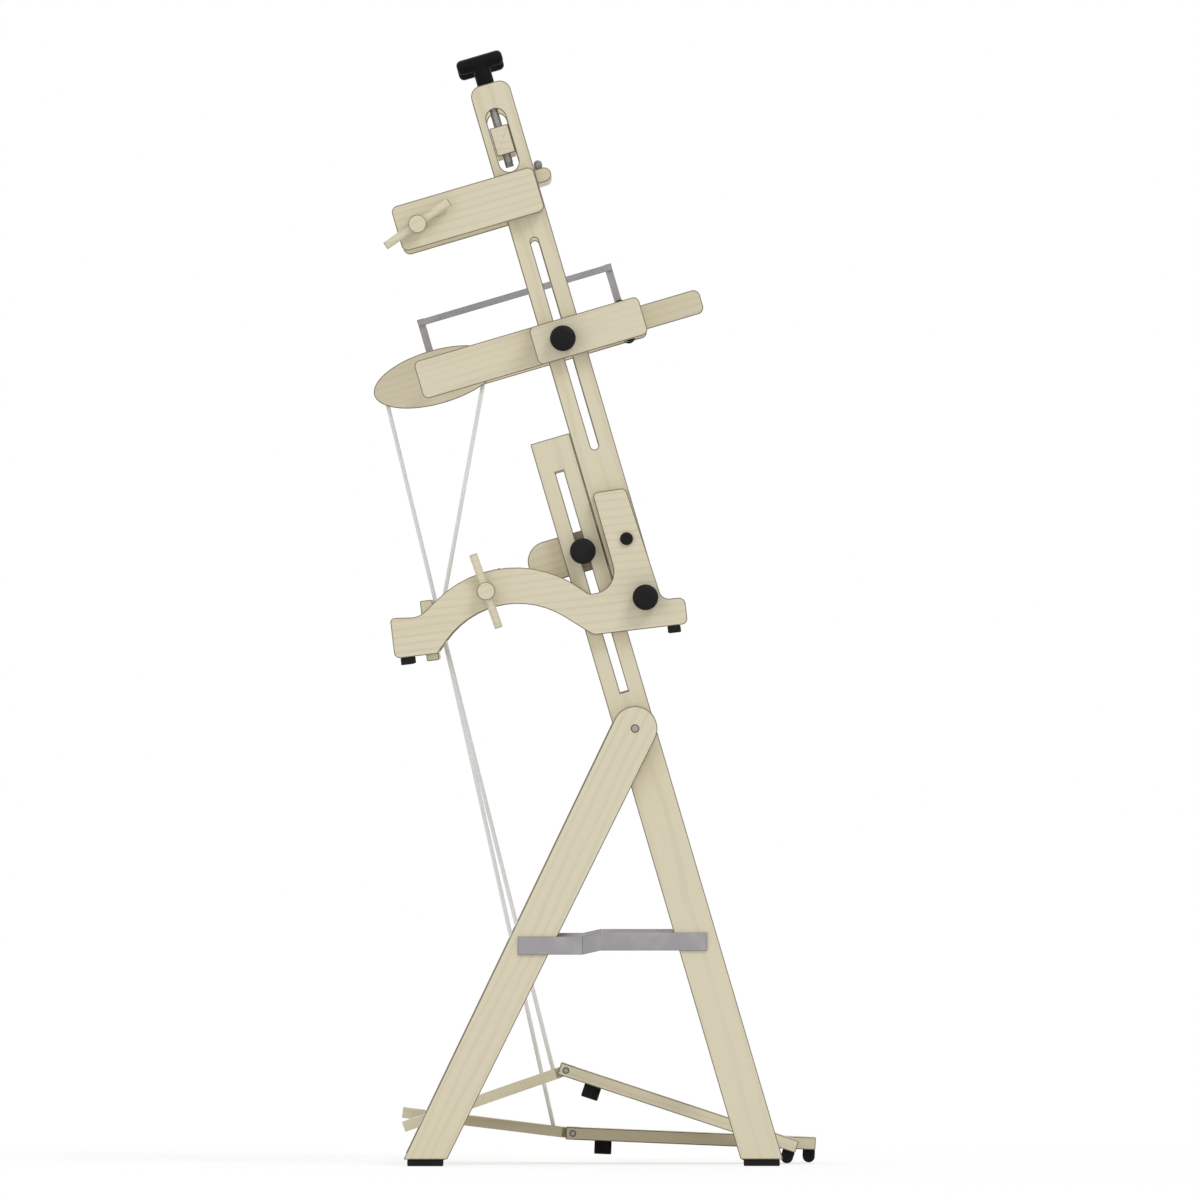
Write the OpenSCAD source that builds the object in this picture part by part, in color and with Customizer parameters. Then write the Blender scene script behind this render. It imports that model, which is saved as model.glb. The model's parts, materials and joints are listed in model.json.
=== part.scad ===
// Upright tapestry loom on a two-legged stand, with beams, a shed changer and treadles.
// The weaver sits at the front (-Y), +Z is up and the floor is Z = 0.

/* [Loom frame] */
// Angle by which the loom and its long legs lean back
lean_angle = 16.4; // [12:0.1:20]
// Clear width between the two uprights
clear_width = 600; // [450:10:700]
// Thickness of the hardwood boards
board_t = 20; // [18:0.5:22]
// Width of an upright and of a long leg
rail_w = 47.2; // [42:0.2:54]
// Height of the upright's top end above the stand's pivot
upright_top = 766; // [740:1:800]
// Corner radius at the top of the upright
upright_corner_r = 13; // [4:1:18]
// Width of the slot that guides the shed changer
upright_slot_w = 9.3; // [8.6:0.1:12]
// Lower end of the shed changer's slot, above the pivot
upright_slot_low = 323.7; // [310:0.1:360]
// Distance from the beam arms down to the upper end of that slot
slot_below_arm = 26.1; // [15:0.1:40]
// Width of the window that the top beam's tenon slides in
window_w = 23; // [20:0.5:26]
// Length of that window
window_l = 75.4; // [60:0.2:76]
// Distance from the upright's top down to the window
window_from_top = 30.2; // [26:0.2:34]

/* [Stand] */
// Height of the leg pivot above the floor
pivot_h = 507.5; // [480:1:540]
// Height of the long leg's top end above the pivot
leg_top = 350.4; // [335:1:380]
// Lower end of the long leg's slot
leg_slot_low = 44.2; // [40:0.1:60]
// Upper end of the long leg's slot
leg_slot_high = 310.9; // [300:0.1:320]
// Distance from the pivot back to the middle of the short leg's foot
short_leg_reach = 243.2; // [210:1:270]
// Width of the short leg at its round top
short_leg_w = 52; // [46:1:56]
// Width of the short leg along the floor
short_leg_foot_w = 50.6; // [44:0.5:54]
// Thickness of the rubber pads under the legs
pad_t = 7.7; // [5:0.5:10]
// Height of the strap between the legs
strap_h = 20.9; // [16:1:26]
// Thickness of the strap's steel
strap_t = 3; // [2:0.5:4]

/* [Beams] */
// Diameter of the warp and cloth rollers
roller_d = 34; // [28:1:36]
// Diameter of the rollers' journals
journal_d = 16; // [12:1:18]
// Length of the wooden cross handle
handle_l = 90; // [70:1:110]
// Number of teeth on a ratchet wheel
ratchet_teeth = 12; // [8:4:16]
// Diameter of a ratchet wheel over its teeth
ratchet_d = 42; // [38:1:44]
// Diameter of the tension screw
screw_d = 9.5; // [8:0.5:11]

/* [Shed changer] */
// Height of the shed arms above the pivot
shed_h = 457.8; // [440:1:480]
// Depth of a shed arm
shed_arm_w = 45.6; // [40:0.2:48]
// Distance from the front rocker's pivot to the rear shaft
link_l = 228.3; // [210:0.1:240]
// Length of the two cranks between their pivot and link pin
crank_l = 67.5; // [60:0.5:80]
// Length of the oval rocker that pulls the cords
cam_l = 152; // [130:1:160]
// Height of the oval rocker
cam_h = 62.8; // [50:0.2:70]
// Diameter of the rocker shafts
shaft_d = 16; // [12:1:18]

/* [Treadles] */
// Height of the treadle rod above the floor
rod_h = 54.4; // [50:0.2:60]
// Length of a treadle arm from the rod to its knee pin
arm_l = 165; // [150:1:180]
// Length of a pedal
pedal_l = 291.5; // [280:0.5:300]
// Width of a treadle
treadle_w = 84; // [60:1:92]
// Slope of the lowered treadle's arm
lowered_slope = -7; // [-8:0.5:-4]
// Slope of the raised treadle's arm
raised_slope = 19.2; // [14:0.2:20]

/* [Knobs] */
// Diameter of a clamp knob
knob_d = 30; // [26:1:34]
// Diameter of a clamp bolt
stud_d = 8; // [6:0.5:8.5]
// Diameter of the plain bolts through foot, upright and bracket
cap_bolt_d = 6.5; // [5:0.5:7]

/* [Hidden] */

// Facets of a round shape
$fn = 48;
// Gap between boards that slide past each other, and the play of a shaft in its bore
gap = 0.3;
play = 0.05;
// How far a cut runs past the face it opens
over = 1;
// Wood, metal and plastic colours
maple = [0.835, 0.804, 0.698];
steel = [0.6, 0.59, 0.6];
black = [0.13, 0.12, 0.125];
rubber_black = [0.12, 0.11, 0.115];
cord_white = [0.85, 0.85, 0.86];

// Side planes, measured from the middle of the loom
rail_x = clear_width / 2;
rail_out = rail_x + board_t;
outer_x = rail_out + gap;
outer_end = outer_x + board_t;
shed_plate_x = rail_out + 2 * gap;
inner_x = rail_x - gap - board_t;

// Pivot of the legs
pivot_y = -48.1;
// Uprights stand in front of the long legs, edge to edge
upright_y = -(rail_w + gap);
upright_bottom = 122;
window_back = 2.3;
window_y = upright_y + window_back;
window_high = upright_top - window_from_top;
window_low = window_high - window_l;
tenon_play = 1;
tenon_r = 1;
tenon_w = window_w - tenon_play;
tenon_h = 33.6;
tenon_z = (window_low + window_high) / 2;

// Stand
leg_slot_w = stud_d + 1.6;
short_leg_tilt = atan(short_leg_reach / (pivot_h - pad_t));
pad_w = 42;
pad_x_inset = 2;
strap_ends = [-131.7, 87.6];
strap_bend = [-8.1, 12.8];
strap_z = 250;
strap_drop = 4.7;
long_leg_foot = pivot_y - (pivot_h - pad_t) * tan(lean_angle);
stretcher_t = 18;
stretcher_w = 40;
front_stretcher_z = -345;
rear_stretcher_down = 400;

// Loom foot, in its own frame: s runs forward along its base, t rises from it
foot_tilt = 9.6;
foot_heel = [237.9, 155.2];
foot_outline = [
  [-6.7, 0, 7], [43.2, 0, 3], [119.2, 85.1, 102], [225.6, 0, 12], [335.8, 0, 7], [336, 31.2, 8],
  [309.4, 31.8, 11], [282.6, 165.2, 7], [243.4, 163.8, 5], [261.5, 50, 25], [226, 47.5, 10],
  [136.9, 129.7, 130], [27, 44.5, 25], [-6.7, 47.4, 5]
];
foot_pad_t = 8.5;
foot_pads_s = [[0, 15], [312.5, 327]];
cloth_beam_at = [107.7, 65.4];
cloth_pawl_at = [141.5, 68.5];
foot_bolt_at = [-54.6, 142.6];
foot_bolt_in = 30;
cap_bolt_at = [-52.7, 214];
leg_bolt_at = [0, 214.5];
crossbar_s = [30, 44.5];
crossbar_t = [-7.5, 63];
crossbar_r = 2;
guide_x = 20;
guide_rise = 38.5;
guide_r = 4;
guide_wire = 1.6;
bracket_w = 47.2;
bracket_back = 65.6;
bracket_front = -70;

// Beam arms and the boards between the uprights
arm_from_top = 106.4;
arm_w = 53.9;
arm_high = upright_top - arm_from_top;
arm_low = arm_high - arm_w;
arm_mid = (arm_low + arm_high) / 2;
arm_y = [-70, 101.8];
arm_r = 8;
upright_slot_high = arm_low - slot_below_arm;
warp_beam_at = [76.9, arm_mid];
warp_pawl_at = warp_beam_at + [-33.9, 3.7];
handle_d = 9.6;
handle_post_d = 21;
handle_post_l = 20;
warp_handle_turn = -18.6;
cloth_handle_turn = 87;
ratchet_x = 4;
ratchet_t = 6;
tooth_h = 4;
pawl_l = 29;
pawl_eye_r = 6;
pawl_lift = 43;
pawl_face_turn = -61;
pawl_screw_d = 5;
pawl_screw_in = 10;
pawl_screw_head = 2.5;
spring_board_t = 16.7;
spring_board_high = arm_high - 4.9;
spring_board_low = spring_board_high - spring_board_t;
spring_board_y = [-88.5, -36];
spring_d = 10;
spring_in = 11.9;
spring_at = [spring_board_y[0] + spring_in, spring_board_high + spring_d / 2 + play];
spring_wire = 1.2;
spring_core_d = 6;
spring_turns = 60;
spring_margin = 20;
spring_block = 9;
spring_l = clear_width - 2 * spring_margin;
bottom_beam_z = [128, 162];
bottom_beam_y = [-62, -36];
bottom_beam_r = 5;

// Shed changer
rocker_y = -122.3;
cam_y = rocker_y + link_l;
shed_front = -144.6;
shed_back = 127;
plate_back = -12.3;
shed_r = 7;
shaft_seat = 14;
crank_w = 8.5;
crank_t = 4;
crank_gap = 1;
crank_x = inner_x - crank_gap - crank_t;
crank_eye_d = 24;
block_in = 4;
link_t = 4;
link_x = crank_x - gap - link_t;
link_w = 7.6;
pin_d = 4;
rod_offset = 17.5;
heddle_rod_d = 6;
heddle_cap_d = 15;
heddle_rod_in = 8;
cap_wall = 2;
rocker_plate_t = 10;
rocker_plate_in = 26;
rocker_plate_x = crank_x - rocker_plate_in;
rocker_plate_w = 21;
cam_t = 22;
shed_handle_w = 29;
shed_handle_r = 8;
shed_handle_y = [-216.4, -92];

// Treadles
rod_y = 188;
rod_d = 8;
rod_seat = 12;
rod_tube_d = 14;
arm_t = 12;
arm_tail = 35;
pedal_t = 14.5;
treadle_gap = 16;
treadle_x = (treadle_w + treadle_gap) / 2;
cheek_w = 16;
knee_d = 6;
knee_in = 8;
pin_recess = 1;
shoulder_in = 12.5;
bumper_in = 33.8;
bumper = [30, 20, 15.5];
toe_w = 14.2;
toe_h = 15;
toe_l = 60;
floor_clear = 0.5;
toe_reach = pedal_l - knee_in - toe_w / 2 - gap;
toe_drop = pedal_t / 2 + toe_h - toe_w / 2;
toe_r = norm([toe_reach, toe_drop]);
toe_angle = atan(toe_drop / toe_reach);

// Knobs and bolts
knob_gap = 1.5;
knob_hub_d = 19;
knob_hub = 4;
knob_h = 20;
knob_edge = 1.5;
knob_round = 5;
knob_crown = 1;
knob_socket = 14;
bolt_head = 4;
bolt_head_d = 17.6;
washer_d = 22;
cap_d = 15;
cap_nut_d = 14;
t_bar_l = 54.5;
t_bar_d = 17;
t_bar_flat = 2.5;
t_stem_d = 20;
t_bar_rise = 26;
t_bar_z = upright_top + t_bar_rise;
screw_below = 10.2;
screw_end = tenon_z - tenon_h / 2 - screw_below;

// Cords, as points chosen along their pull from the oval rocker, through the guides, to the treadles
cord_d = 4.8;
cord_sides = 8;
cord_pocket_d = 8.4;
cord_pocket = 6;
// Where each cord is tied along its treadle's arm, from the rod
right_cord_foot = 141.5;
left_cord_foot = 151.5;
// Where a cord enters the oval rocker, and the tilt of its pull there
rear_cord_top = [170.4, 439.5, 2.7];
front_cord_top = [56.9, 433.8, 26.7];
rear_cord_path = [
  [0, 240.4, 885.5], [0, 238.4, 877], [5, 224.5, 820], [10, 210.9, 764], [15, 195.8, 702],
  [19, 182.7, 648], [20, 179.7, 636], [20, 178.2, 630], [21.4, 172.2, 603], [25.3, 154.9, 526],
  [30.4, 132.6, 426], [35.5, 110.2, 326], [40.5, 88.3, 228], [45.7, 65.9, 128], [48.8, 52, 66],
  [50, 47, 43.5], [50.2, 46, 39.1]
];
front_cord_path = [
  [0, 128.3, 911.5], [0, 129.8, 903], [-5, 139.1, 852], [-10, 150.1, 792], [-15, 162.8, 722],
  [-19, 175.6, 652], [-20, 178.2, 638], [-20, 178.7, 632], [-20.6, 176.2, 622], [-23.3, 164.4, 575],
  [-27.1, 147.6, 508], [-32.2, 125.4, 420], [-37.2, 103.3, 332], [-42.3, 81.1, 244],
  [-46, 65, 180], [-49.4, 49.3, 118], [-50.2, 46.1, 106]
];

// Outline with every corner [x, y, r] rounded by its own radius
function rounded(corners) = let (n = len(corners)) [
  for (i = [0:n - 1]) each corner_arc(
    xy(corners[(i + n - 1) % n]), xy(corners[i]), xy(corners[(i + 1) % n]), corners[i][2]
  )
];
function xy(c) = [c[0], c[1]];
function turned(p, a) = [p[0] * cos(a) - p[1] * sin(a), p[0] * sin(a) + p[1] * cos(a)];
function corner_arc(a, c, b, r) =
  let (
    u = (a - c) / norm(a - c),
    v = (b - c) / norm(b - c),
    half = acos(u * v) / 2,
    turn = 180 - 2 * half,
    centre = c + (u + v) / norm(u + v) * (r / sin(half)),
    steps = max(2, ceil(turn / 7)),
    first = c + u * (r / tan(half)),
    way = u[0] * v[1] - u[1] * v[0] > 0 ? -1 : 1
  )
  [for (i = [0:steps]) centre + turned(first - centre, way * turn * i / steps)];

// Slope of a pedal, front end down, that sets its rubber toe on the floor
function knee_z(slope) = rod_h + arm_l * sin(slope);
function pedal_slope(slope) = asin((knee_z(slope) - toe_w / 2 - floor_clear) / toe_r) - toe_angle;

// Frames of reference: everything leans with the loom, and each loom foot tilts by its own angle
module lean() {
  translate([0, pivot_y, pivot_h]) rotate([-lean_angle, 0, 0]) children();
}

// A point of the loom's foot, in the leaning frame
function foot_point(p) = [
  foot_heel[0] - p[0] * cos(foot_tilt) - p[1] * sin(foot_tilt),
  foot_heel[1] - p[0] * sin(foot_tilt) + p[1] * cos(foot_tilt)
];

module in_foot() {
  translate([0, foot_heel[0], foot_heel[1]]) rotate([foot_tilt, 0, 0]) mirror([0, 1, 0]) children();
}

// An outline in the Y-Z plane, extruded along X from x0
module slab(x0, t) {
  translate([x0, 0, 0]) rotate([90, 0, 90]) linear_extrude(t) children();
}

// A round bar or bore along X
module bar(x0, x1, at, d) {
  translate([x0, at[0], at[1]]) rotate([0, 90, 0]) cylinder(d = d, h = x1 - x0);
}

module on_side(side) {
  if (side == "left") mirror([1, 0, 0]) children();
  else children();
}

module both_sides() {
  children();
  mirror([1, 0, 0]) children();
}

// A rectangle from corner to corner with rounded corners
module soft_rect(low, high, r) {
  hole_at = [[low[0] + r, low[1] + r], [high[0] - r, low[1] + r], [low[0] + r, high[1] - r], [high[0] - r, high[1] - r]];
  for (p = hole_at) translate(p) circle(r);
  translate([low[0], low[1] + r]) square([high[0] - low[0], high[1] - low[1] - 2 * r]);
  translate([low[0] + r, low[1]]) square([high[0] - low[0] - 2 * r, high[1] - low[1]]);
}

// A slot with round ends along the second axis
module round_slot(at, ends, w) {
  translate([at - w / 2, ends[0] + w / 2]) square([w, ends[1] - ends[0] - w]);
  translate([at, ends[0] + w / 2]) circle(d = w);
  translate([at, ends[1] - w / 2]) circle(d = w);
}

// Stand

// Height at which the long leg is cut level, y behind its middle line
function floor_cut(y) = (pad_t - pivot_h + y * sin(lean_angle)) / cos(lean_angle);

module long_leg(side) {
  half = rail_w / 2;
  color(maple) on_side(side) lean() difference() {
    slab(rail_x, board_t) difference() {
      polygon([[-half, leg_top], [half, leg_top], [half, floor_cut(half)], [-half, floor_cut(-half)]]);
      translate([-leg_slot_w / 2, leg_slot_low]) square([leg_slot_w, leg_slot_high - leg_slot_low]);
    }
    bar(rail_x - over, rail_out + over, [0, 0], stud_d + 2 * play);
  }
}

module short_leg(side) {
  half = short_leg_w / 2;
  drop = pivot_h - pad_t;
  outline = concat(
    [for (a = [0:7.5:180]) half * [cos(short_leg_tilt + a), sin(short_leg_tilt + a)]],
    [[short_leg_reach - short_leg_foot_w / 2, -drop], [short_leg_reach + short_leg_foot_w / 2, -drop]]
  );
  color(maple) on_side(side) translate([0, pivot_y, pivot_h]) difference() {
    slab(rail_out, board_t) polygon(outline);
    bar(rail_out - over, rail_out + board_t + over, [0, 0], stud_d + 2 * play);
    bar(rail_out - over, rail_out + rod_seat, [rod_y - pivot_y, rod_h - pivot_h], rod_d + 2 * play);
  }
}

// Flat steel strap that steps from the short leg's face down to the long leg's
module leg_straps() {
  plan = [
    [rail_out + board_t, strap_ends[1]], [rail_out + board_t, strap_bend[1]], [rail_out, strap_bend[0]],
    [rail_out, strap_ends[0]], [rail_out + strap_t, strap_ends[0]], [rail_out + strap_t, strap_bend[0]],
    [rail_out + board_t + strap_t, strap_bend[1]], [rail_out + board_t + strap_t, strap_ends[1]]
  ];
  profile = [
    [strap_ends[0], strap_z], [strap_bend[0], strap_z], [strap_bend[1], strap_z - strap_drop],
    [strap_ends[1], strap_z - strap_drop], [strap_ends[1], strap_z - strap_drop + strap_h],
    [strap_bend[1], strap_z - strap_drop + strap_h], [strap_bend[0], strap_z + strap_h],
    [strap_ends[0], strap_z + strap_h]
  ];
  color(steel) both_sides() intersection() {
    translate([0, 0, strap_z - strap_h]) linear_extrude(3 * strap_h) polygon(plan);
    slab(rail_out - over, board_t + strap_t + 2 * over) polygon(profile);
  }
}

// Pivot bolts with low heads inside, where the two legs of each side meet
module stand_bolts() {
  color(steel) both_sides() translate([0, pivot_y, pivot_h]) {
    bar(rail_x - bolt_head, rail_x, [0, 0], 2 * stud_d);
    bar(rail_x, rail_out + board_t, [0, 0], stud_d);
  }
}

module leg_stretchers() {
  color(maple) {
    lean() translate([-rail_x, -stretcher_t / 2, front_stretcher_z - stretcher_w / 2])
      cube([2 * rail_x, stretcher_t, stretcher_w]);
    translate([0, pivot_y, pivot_h]) rotate([short_leg_tilt, 0, 0])
      translate([-rail_out, -stretcher_t / 2, -rear_stretcher_down - stretcher_w / 2])
        cube([2 * rail_out, stretcher_t, stretcher_w]);
  }
}

module leg_pads() {
  inside = board_t - 2 * pad_x_inset;
  color(rubber_black) both_sides() {
    translate([rail_x + pad_x_inset, long_leg_foot - pad_w / 2, 0]) cube([inside, pad_w, pad_t]);
    translate([rail_out + pad_x_inset, pivot_y + short_leg_reach - pad_w / 2, 0]) cube([inside, pad_w, pad_t]);
  }
}

// Steel rod that both treadles turn on, with the tubes that keep them in place
module treadle_rod() {
  at = [rod_y, rod_h];
  edge = treadle_x + treadle_w / 2 + gap;
  color(steel) {
    bar(gap - rail_out - rod_seat, rail_out + rod_seat - gap, at, rod_d);
    both_sides() difference() {
      bar(edge, rail_out - gap, at, rod_tube_d);
      bar(edge - over, rail_out, at, rod_d + 2 * play);
    }
    difference() {
      bar(-treadle_gap / 2 + gap, treadle_gap / 2 - gap, at, rod_tube_d);
      bar(-treadle_gap, treadle_gap, at, rod_d + 2 * play);
    }
  }
}

// Loom frame

module upright(side) {
  half = rail_w / 2;
  color(maple) on_side(side) lean() difference() {
    slab(rail_x, board_t) difference() {
      union() {
        soft_rect([upright_y - half, upright_bottom], [upright_y + half, upright_top], upright_corner_r);
        translate([upright_y - half, upright_bottom]) square([rail_w, 2 * upright_corner_r]);
      }
      round_slot(upright_y, [upright_slot_low, upright_slot_high], upright_slot_w);
      round_slot(window_y, [window_low, window_high], window_w);
    }
    translate([rail_x + board_t / 2, window_y, window_high - window_w / 2]) cylinder(d = screw_d + 2 * gap, h = window_from_top + window_w);
    bar(rail_x - over, rail_out + over, foot_bolt_at, stud_d + 2 * play);
    bar(rail_x - over, rail_out + over, cap_bolt_at, cap_bolt_d);
  }
}

// Arched foot with the bores of the cloth beam and the bolts
module loom_foot(side) {
  color(maple) on_side(side) lean() difference() {
    in_foot() slab(outer_x, board_t) polygon(rounded(foot_outline));
    in_foot() bar(outer_x - over, outer_end + over, cloth_beam_at, journal_d + 2 * play);
    bar(outer_x - over, outer_end + over, foot_bolt_at, stud_d + 2 * play);
    bar(outer_x - over, outer_end + over, cap_bolt_at, cap_bolt_d);
    if (side == "left") bar(outer_x - over, outer_x + pawl_screw_in, foot_point(cloth_pawl_at), pawl_screw_d);
  }
}

module foot_pads() {
  color(rubber_black) lean() both_sides() in_foot() for (s = foot_pads_s)
    slab(outer_x + pad_x_inset, board_t - 2 * pad_x_inset)
      translate([s[0], -foot_pad_t]) square([s[1] - s[0], foot_pad_t]);
}

// Inner boards that carry the loom's clamp bolts past the rear edge of the long legs
module stand_brackets() {
  half = bracket_w / 2;
  mid = leg_bolt_at[1];
  color(maple) lean() both_sides() difference() {
    slab(inner_x, board_t) {
      translate([bracket_front, mid - half]) square([bracket_back - half - bracket_front, bracket_w]);
      translate([bracket_back - half, mid]) circle(half);
    }
    bar(inner_x - over, inner_x + board_t + over, leg_bolt_at, stud_d + 2 * play);
    bar(inner_x - over, inner_x + board_t + over, cap_bolt_at, cap_bolt_d);
  }
}

module beam_arms() {
  color(maple) lean() difference() {
    both_sides() difference() {
      slab(outer_x, board_t) soft_rect([arm_y[0], arm_low], [arm_y[1], arm_high], arm_r);
      bar(outer_x - over, outer_end + over, warp_beam_at, journal_d + 2 * play);
    }
    bar(-outer_x - pawl_screw_in, -outer_x + over, warp_pawl_at, pawl_screw_d);
  }
}

// Black heads of the bolts that join foot, upright and bracket
module bolt_caps() {
  color(black) lean() both_sides() {
    bar(outer_end, outer_end + bolt_head, cap_bolt_at, cap_d);
  }
}

// Steel bolts of the loom frame: clamp bolts, cap bolts and the pawls' screws
module frame_bolts() {
  color(steel) lean() {
    both_sides() {
      clamp_bolt(leg_bolt_at, inner_x, rail_out);
      clamp_bolt(foot_bolt_at, rail_x - foot_bolt_in, outer_end, 0);
      bar(inner_x - bolt_head, inner_x, cap_bolt_at, cap_nut_d);
      bar(inner_x, outer_end, cap_bolt_at, cap_bolt_d - 2 * play);
    }
    pawl_screw(warp_pawl_at);
    pawl_screw(foot_point(cloth_pawl_at));
  }
}

// Carriage bolt from an inner face, through the boards and into its knob
module clamp_bolt(at, from, to, head = bolt_head) {
  if (head > 0) bar(from - head, from, at, bolt_head_d);
  bar(from, to + knob_gap + knob_socket - over, at, stud_d);
  difference() {
    bar(to + 2 * play, to + knob_gap - gap, at, washer_d);
    bar(to, to + knob_gap, at, stud_d);
  }
}

module pawl_screw(at) {
  head = -outer_x + ratchet_x + ratchet_t + gap;
  bar(-outer_x - pawl_screw_in, head, at, pawl_screw_d);
  bar(head, head + pawl_screw_head, at, 2.2 * pawl_screw_d);
}

module bottom_beam() {
  color(maple) lean() difference() {
    slab(-rail_x, 2 * rail_x)
      soft_rect([bottom_beam_y[0], bottom_beam_z[0]], [bottom_beam_y[1], bottom_beam_z[1]], bottom_beam_r);
    both_sides() bar(rail_x - foot_bolt_in, rail_x + over, foot_bolt_at, stud_d);
  }
}

// Fixed board whose front lip carries the spring that spaces the warp
module spring_board() {
  lip = spring_board_t / 2 - gap;
  color(maple) lean() slab(-rail_x, 2 * rail_x) {
    soft_rect([spring_board_y[0], spring_board_low], [spring_board_y[0] + 3 * lip, spring_board_high], lip);
    translate([spring_board_y[0] + lip, spring_board_low])
      square([spring_board_y[1] - spring_board_y[0] - lip, spring_board_t]);
  }
}

// Coil spring stretched along the lip, on its steel core between two end blocks
module warp_spring() {
  rings = 8 * spring_turns;
  mean_r = (spring_d - spring_wire) / 2;
  length = spring_l - 2 * spring_block;
  coil = [for (i = [0:rings]) [length * (i / rings - 0.5), mean_r * cos(45 * i), mean_r * sin(45 * i)]];
  echo(least_gap_of_the_spring_in_mm = least_gap(coil, spring_wire, 6));
  color(steel) lean() translate([0, spring_at[0], spring_at[1]]) {
    swept(coil, spring_wire, 6);
    bar(-spring_l / 2, spring_l / 2, [0, 0], spring_core_d);
    both_sides() difference() {
      bar(spring_l / 2 - spring_block - spring_wire, spring_l / 2, [0, 0], spring_d);
      bar(0, spring_l, [0, 0], spring_core_d);
    }
  }
}

// Least gap between the turns of a tube of wire d, on points that are at least `apart` rings from each other
function least_gap(path, d, apart) =
  let (last = len(path) - 1)
  min([for (i = [0:last - apart]) for (j = [i + apart:min(last, i + 3 * apart)]) norm(path[j] - path[i])]) - d;

// Points of a ring of n sides round p, square to the direction along
function ring(p, along, d, n) =
  let (side = cross(along, [1, 0, 0]), u = side / norm(side), v = cross(along, u) / norm(along))
  [for (k = [0:n - 1]) p + d / 2 * (cos(360 * k / n) * u + sin(360 * k / n) * v)];

// A tube of n sides along a list of points
module swept(path, d, n) {
  last = len(path) - 1;
  points = [for (i = [0:last]) each ring(path[i], path[min(i + 1, last)] - path[max(i - 1, 0)], d, n)];
  walls = [
    for (i = [0:last - 1]) for (k = [0:n - 1]) let (a = i * n + k, b = i * n + (k + 1) % n)
      each [[a, a + n, b], [b, a + n, b + n]]
  ];
  polyhedron(points, concat([[for (k = [0:n - 1]) k]], walls, [[for (k = [n - 1:-1:0]) last * n + k]]), 10);
}

module crossbar() {
  color(maple) lean() in_foot() slab(-outer_x, 2 * outer_x)
    soft_rect([crossbar_s[0], crossbar_t[0]], [crossbar_s[1], crossbar_t[1]], crossbar_r);
}

// Screw eyes on the crossbar that lead the two cords down
module cord_guides() {
  at = crossbar_s[1] + guide_r + guide_wire;
  color(steel) lean() in_foot() for (x = [-guide_x, guide_x]) translate([x, at, guide_rise]) {
    rotate_extrude($fn = 32) translate([guide_r, 0]) circle(guide_wire / 2, $fn = 16);
    translate([0, -guide_r, 0]) rotate([90, 0, 0]) cylinder(d = guide_wire, h = guide_wire);
  }
}

// Shed changer

module shed_brackets() {
  color(maple) lean() both_sides() difference() {
    slab(shed_plate_x, board_t)
      soft_rect([shed_front, shed_h - shed_arm_w / 2], [plate_back, shed_h + shed_arm_w / 2], shed_r);
    bar(shed_plate_x - over, shed_plate_x + shaft_seat, [rocker_y, shed_h], shaft_d + 2 * play);
    bar(shed_plate_x - over, shed_plate_x + board_t + over, [upright_y, shed_h], stud_d + 2 * play);
  }
}

// Long inner arms, and the block that fills the side where no handle swings
module inner_arms() {
  half = shed_arm_w / 2;
  color(maple) lean() {
    both_sides() difference() {
      slab(inner_x, board_t) soft_rect([shed_front, shed_h - half], [shed_back, shed_h + half], shed_r);
      bar(inner_x - over, inner_x + board_t + over, [rocker_y, shed_h], shaft_d + 2 * play);
      bar(inner_x - over, inner_x + shaft_seat, [cam_y, shed_h], shaft_d + 2 * play);
      bar(inner_x - over, inner_x + board_t + over, [upright_y, shed_h], stud_d + 2 * play);
    }
    on_side("left") difference() {
      slab(inner_x + board_t, shed_plate_x - inner_x - board_t)
        soft_rect([shed_front + block_in, shed_h - half + block_in],
          [upright_y - rail_w / 2 - block_in, shed_h + half - block_in], block_in);
      bar(inner_x, shed_plate_x + over, [rocker_y, shed_h], shaft_d + 2 * play);
    }
  }
}

module shed_bolts() {
  color(steel) lean() both_sides() clamp_bolt([upright_y, shed_h], inner_x, shed_plate_x + board_t);
}

module shed_handle() {
  half = shed_handle_w / 2;
  back = shed_handle_y[1] - half;
  color(maple) lean() difference() {
    slab(rail_x + gap, board_t - 2 * gap) {
      soft_rect([shed_handle_y[0], shed_h - half], [back, shed_h + half], shed_handle_r);
      translate([shed_handle_y[0] + shed_handle_r, shed_h - half])
        square([back - shed_handle_y[0] - shed_handle_r, shed_handle_w]);
      translate([back, shed_h]) circle(half);
    }
    bar(rail_x - over, rail_out + over, [rocker_y, shed_h], shaft_d);
  }
}

// Front shaft with a rocking plate near each end, which carries the heddle rods
module heddle_rocker() {
  end = shed_plate_x + shaft_seat - gap;
  color(maple) lean() {
    bar(-end, end, [rocker_y, shed_h], shaft_d);
    both_sides() difference() {
      slab(rocker_plate_x, rocker_plate_t)
        round_slot(rocker_y, [shed_h - shed_arm_w / 2, shed_h + shed_arm_w / 2], rocker_plate_w);
      bar(rocker_plate_x - over, rocker_plate_x + rocker_plate_t + over, [rocker_y, shed_h], shaft_d);
      for (z = [-rod_offset, rod_offset])
        bar(rocker_plate_x - over, rocker_plate_x + rocker_plate_t + over, [rocker_y, shed_h + z], heddle_rod_d);
    }
  }
}

module heddle_rods() {
  end = rocker_plate_x + rocker_plate_t + heddle_rod_in;
  color(steel) lean() for (z = [-rod_offset, rod_offset]) bar(-end, end, [rocker_y, shed_h + z], heddle_rod_d);
}

module heddle_rod_caps() {
  from = rocker_plate_x + rocker_plate_t;
  color(black) lean() both_sides() for (z = [-rod_offset, rod_offset]) difference() {
    bar(from, from + heddle_rod_in + cap_wall, [rocker_y, shed_h + z], heddle_cap_d);
    bar(from - over, from + heddle_rod_in, [rocker_y, shed_h + z], heddle_rod_d);
  }
}

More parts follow.
